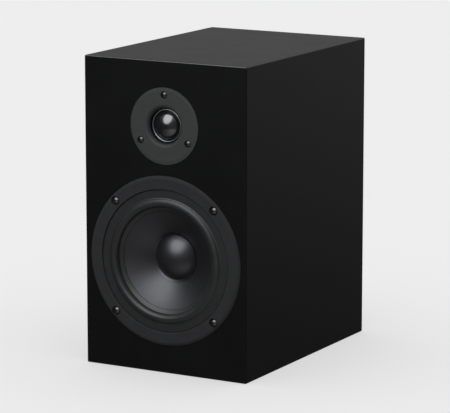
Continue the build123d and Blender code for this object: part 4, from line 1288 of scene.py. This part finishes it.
# ---- Coils and terminals of both drivers ----
def enamelled_wire(name, hardware, direction, pitch):
    """Wound copper, with its turns side by side along one direction and painted shade between them."""
    made = Finish(name, hardware.copper, 0.30, metallic=0.9, coat=0.5, coat_roughness=0.15)
    made.mottle(0.10, 250.0, rough=0.05)
    made.threads(direction, pitch, pitch * 0.25, lighter(hardware.copper, 0.35))
    return made.done()


def foil(hardware):
    made = Finish("former_foil", hardware.foil, 0.32, metallic=1.0)
    made.mottle(0.08, 200.0, rough=0.1).threads((0.0, 1.0, 0.0), 0.0002, 0.000004)
    return made.done()


def terminal_strip(name, hardware, tab_x, row):
    """Brown fibre, with tinned tabs where the tabs go through it."""
    made = Finish(name, hardware.fibre, 0.6)
    made.mottle(0.12, 200.0).fibres(1500.0, 0.00002, lighter(hardware.fibre, 1.3))
    place = made.parts(made.position())
    beside = made.sum("ABSOLUTE", made.sum("SUBTRACT", made.sum("ABSOLUTE", place[0]), tab_x))
    above = made.sum("ABSOLUTE", made.sum("SUBTRACT", place[2], row))
    across = made.spread(beside, hardware.tab_width * 0.52, hardware.tab_width * 0.5)
    along = made.spread(above, hardware.tab_wall * 0.56, hardware.tab_wall * 0.5)
    tab = made.sum("MULTIPLY", across, along)
    made.tint(tab, tuple(hardware.brass))
    made.metal = tab
    made.roughness = made.spread(tab, 0.0, 1.0, 0.6, 0.3)
    return made.done()


class SPEAKER_OT_driver_coils(bpy.types.Operator):
    """Finishes the voice coils, their formers and the drivers' terminals"""

    bl_idname = "speaker.driver_coils"
    bl_label = "Coils and terminals"

    def execute(self, context):
        hardware = context.scene.speaker_hardware
        along_axis = (0.0, 1.0, 0.0)
        dress(enamelled_wire("coil_winding", hardware, along_axis, 0.0003), "woofer_voice_coil")
        dress(enamelled_wire("fine_winding", hardware, along_axis, 0.0001), "tweeter_voice_coil")
        dress(foil(hardware), "woofer_coil_former", "tweeter_coil_former")
        woofer_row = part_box("woofer_tinsel_leads")[0].z + 0.5 * MM
        strips = (
            ("woofer", hardware.woofer_tab_x, woofer_row),
            ("tweeter", hardware.tweeter_tab_x, tweeter_axis.z),
        )
        for driver, tab_x, row in strips:
            dress(terminal_strip(f"{driver}_strip", hardware, tab_x, row), f"{driver}_terminals")
        return {"FINISHED"}


# ---- Screws, gaskets and the port ----
def blackened_screw(name, tone, roughness):
    return plated(name, tone, roughness, 0.15, 600.0, 0.06, 1.8)


class SPEAKER_OT_screws(bpy.types.Operator):
    """Finishes every screw"""

    bl_idname = "speaker.screws"
    bl_label = "Screws"

    def execute(self, context):
        hardware = context.scene.speaker_hardware
        dress(blackened_screw("tweeter_screw", hardware.screw, 0.30), "tweeter_screws")
        dress(blackened_screw("woofer_screw", hardware.bright_screw, 0.34), "woofer_screws")
        dress(blackened_screw("black_screw", hardware.black_screw, 0.38), "terminal_screws")
        dress(plated("zinc_screw", hardware.zinc, 0.28, 0.12, 500.0, 0.08, 1.3), "crossover_screws")
        return {"FINISHED"}


class SPEAKER_OT_gaskets_and_port(bpy.types.Operator):
    """Finishes the foam gaskets and the moulded port tube"""

    bl_idname = "speaker.gaskets_and_port"
    bl_label = "Gaskets and port"

    def execute(self, context):
        cabinet = context.scene.speaker_cabinet
        foam = Finish("gasket_foam", cabinet.foam, 0.9, specular=0.1)
        foam.mottle(0.2, 900.0).grain(0.00008, 1800.0, rough=0.05)
        dress(foam.done(), "woofer_gasket", "tweeter_gasket", "terminal_gasket")
        port = Finish("port_plastic", cabinet.port, 0.42, specular=0.35)
        port.mottle(0.06, 90.0, rough=0.03).grain(0.00001, 1800.0, rough=0.05)
        port.rings(port_axis, 0.0012, 0.000001).dust(0.02)
        dress(port.done(), "port_tube")
        return {"FINISHED"}


# ---- Binding posts ----
def moulded_plastic(name, tone, roughness, specular):
    made = Finish(name, tone, roughness, specular=specular)
    made.mottle(0.06, 250.0, rough=0.03).grain(0.000004, 2400.0, rough=0.04)
    # Lighter edges: partly wear, partly a painted highlight.
    made.edges(lighter(tone, 1.4), 0.0003).dust(0.015)
    return made.done()


class SPEAKER_OT_terminals(bpy.types.Operator):
    """Finishes the terminal plate, its posts, knobs, nuts and lugs"""

    bl_idname = "speaker.terminals"
    bl_label = "Terminals"

    def execute(self, context):
        hardware = context.scene.speaker_hardware
        gold = plated("gold_plate", hardware.gold, 0.20, 0.05, 400.0, 0.05, 1.2)
        for side, tone in (("red", hardware.red), ("black", hardware.black)):
            dress(gold, f"{side}_binding_post", f"{side}_clamp_washer")
            plastic = moulded_plastic(f"{side}_plastic", tone, 0.22, 0.5)
            dress(plastic, f"{side}_knob", f"{side}_post_collar")
        dress(moulded_plastic("terminal_black", hardware.plate, 0.55, 0.25), "terminal_plate")
        tinned = plated("tinned_brass", hardware.brass, 0.30, 0.10, 350.0, 0.08, 1.2)
        dress(tinned, "post_nuts", "solder_lugs", "board_tags")
        return {"FINISHED"}


# ---- Crossover ----
def wound_loop(inner, outer, low, high, wire):
    """Section through a winding: a rectangle with one bump for each wire along its sides."""
    corners = [Vector((outer, low)), Vector((outer, high)), Vector((inner, high)), Vector((inner, low))]
    loop = []
    for here, there in zip(corners, corners[1:] + corners[:1]):
        number = max(1, round((there - here).length / wire))
        step = (there - here) / number
        outward = Vector((step.y, -step.x)) / 2
        for i in range(number):
            middle = here + step * (i + 0.5)
            for angle in steps(0.0, math.pi, 5)[:-1]:
                loop.append(middle - step / 2 * math.cos(angle) + outward * (math.sin(angle) - 1))
    return [(point.x, point.y) for point in loop]


def bobbin_loop(hardware, inner, outer, low, high):
    """Section through a bobbin: a neck with a thin flange at each end."""
    flange = hardware.bobbin_flange
    neck = inner + hardware.bobbin_neck
    return [
        (inner, low), (outer, low), (outer, low + flange), (neck, low + flange),
        (neck, high - flange), (outer, high - flange), (outer, high), (inner, high),
    ]


def inductor(name, node, hardware, inner, upright, copper, nylon):
    """A wound coil on its bobbin in the place of a packed one. It stands on end, or lies along Y."""
    low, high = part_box(node)
    middle = (low + high) / 2
    outer = (high.x - low.x) / 2
    half = ((high.z - low.z) if upright else (high.y - low.y)) / 2
    flange, gap = hardware.bobbin_flange, 0.1 * MM
    winding = wound_loop(
        inner + hardware.bobbin_neck + gap, outer - hardware.bobbin_rim,
        flange + gap - half, half - flange - gap, hardware.coil_wire,
    )
    bobbin = bobbin_loop(hardware, inner, outer, -half, half)
    stand = Matrix.Rotation(math.pi / 2, 4, "X") if upright else Matrix.Identity(4)
    parts = (("winding", winding, copper, "copper_coil"), ("bobbin", bobbin, nylon, "nylon"))
    for part, loop, material, slot_name in parts:
        build = turned(loop, Vector((0, 0, 0)), 72)
        build.transform(Matrix.Translation(middle) @ stand)
        piece = mesh_object(f"{name}_{part}", build, material, slot_name)
        if part == "bobbin":
            piece.data.shade_flat()
        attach(piece, "cabinet")
        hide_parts(node)


def capacitor_sleeve(hardware):
    """Glossy film with resin in its ends."""
    made = Finish("film_yellow", hardware.film, 0.25, coat=0.4, coat_roughness=0.1)
    made.mottle(0.08, 120.0, rough=0.05)
    along = made.sum("ABSOLUTE", made.parts(made.facing())[0])
    made.tint(made.spread(along, 0.90, 0.97), lighter(hardware.film, 0.45))
    return made.done()


def fibre_board(hardware):
    made = Finish("board_fibre", hardware.board, 0.42, specular=0.5)
    made.mottle(0.12, 90.0, rough=0.05).weave(0.0009, 0.00001, lighter(hardware.board, 0.8))
    return made.done()


def cast_cement(hardware):
    made = Finish("cement", hardware.cement, 0.85, specular=0.2)
    made.mottle(0.08, 300.0).grain(0.00006, 900.0, rough=0.05)
    return made.done()


class SPEAKER_OT_crossover(bpy.types.Operator):
    """Finishes the crossover board and its parts, and winds its two inductors"""

    bl_idname = "speaker.crossover"
    bl_label = "Crossover"

    def execute(self, context):
        hardware = context.scene.speaker_hardware
        nylon = Finish("nylon", hardware.nylon, 0.4)
        nylon.mottle(0.05, 150.0, rough=0.05).grain(0.000006, 1800.0)
        natural = nylon.done()
        dress(natural, "crossover_standoffs", "cable_clips")
        dress(fibre_board(hardware), "crossover_board")
        dress(capacitor_sleeve(hardware), "film_capacitors")
        dress(cast_cement(hardware), "ceramic_resistors")
        copper = Finish("copper_coil", hardware.copper, 0.28, metallic=0.9, coat=0.5, coat_roughness=0.15)
        copper.mottle(0.12, 300.0, rough=0.06)
        turns = copper.done()
        inductor("large_coil", "woofer_inductor", hardware, hardware.large_bore, True, turns, natural)
        inductor("small_coil", "tweeter_inductor", hardware, hardware.small_bore, False, turns, natural)
        return {"FINISHED"}


class SPEAKER_OT_wiring(bpy.types.Operator):
    """Finishes the leads inside the cabinet"""

    bl_idname = "speaker.wiring"
    bl_label = "Wiring"

    def execute(self, context):
        hardware = context.scene.speaker_hardware
        sleeve = Finish("lead_sleeve", hardware.insulation, 0.38, specular=0.5)
        sleeve.mottle(0.08, 300.0, rough=0.05).grain(0.000005, 2500.0)
        dress(sleeve.done(), "input_leads", "woofer_leads", "tweeter_leads")
        return {"FINISHED"}


# ---- Add-on ----
SETTINGS = {
    "speaker_stage": StageSettings,
    "speaker_cabinet": CabinetSettings,
    "speaker_woofer": WooferSettings,
    "speaker_tweeter": TweeterSettings,
    "speaker_hardware": HardwareSettings,
}
OPERATORS = (
    SPEAKER_OT_stage,
    SPEAKER_OT_cabinet,
    SPEAKER_OT_felts,
    SPEAKER_OT_woofer,
    SPEAKER_OT_surround,
    SPEAKER_OT_spider,
    SPEAKER_OT_tinsel_leads,
    SPEAKER_OT_tweeter,
    SPEAKER_OT_suspension,
    SPEAKER_OT_driver_coils,
    SPEAKER_OT_screws,
    SPEAKER_OT_gaskets_and_port,
    SPEAKER_OT_terminals,
    SPEAKER_OT_crossover,
    SPEAKER_OT_wiring,
)


class SPEAKER_PT_pieces(bpy.types.Panel):
    """Lists the settings of each group and the operators that make or finish the pieces"""

    bl_idname = "SPEAKER_PT_pieces"
    bl_label = "Bookshelf Speaker"
    bl_space_type = "VIEW_3D"
    bl_region_type = "UI"
    bl_category = "Speaker"

    def draw(self, context):
        layout = self.layout
        layout.use_property_split = True
        for name, group in SETTINGS.items():
            box = layout.box()
            box.label(text=group.__doc__)
            for key in group.__annotations__:
                box.prop(getattr(context.scene, name), key)
        for operator in OPERATORS:
            layout.operator(operator.bl_idname)


CLASSES = (*SETTINGS.values(), *OPERATORS, SPEAKER_PT_pieces)


def register():
    for made in CLASSES:
        bpy.utils.register_class(made)
    for name, group in SETTINGS.items():
        setattr(bpy.types.Scene, name, PointerProperty(type=group))


def unregister():
    for name in SETTINGS:
        delattr(bpy.types.Scene, name)
    for made in reversed(CLASSES):
        bpy.utils.unregister_class(made)


def main():
    """Builds everything in order."""
    register()
    for operator in OPERATORS:
        getattr(bpy.ops.speaker, operator.bl_idname.split(".")[1])()


if __name__ == "__main__":
    main()
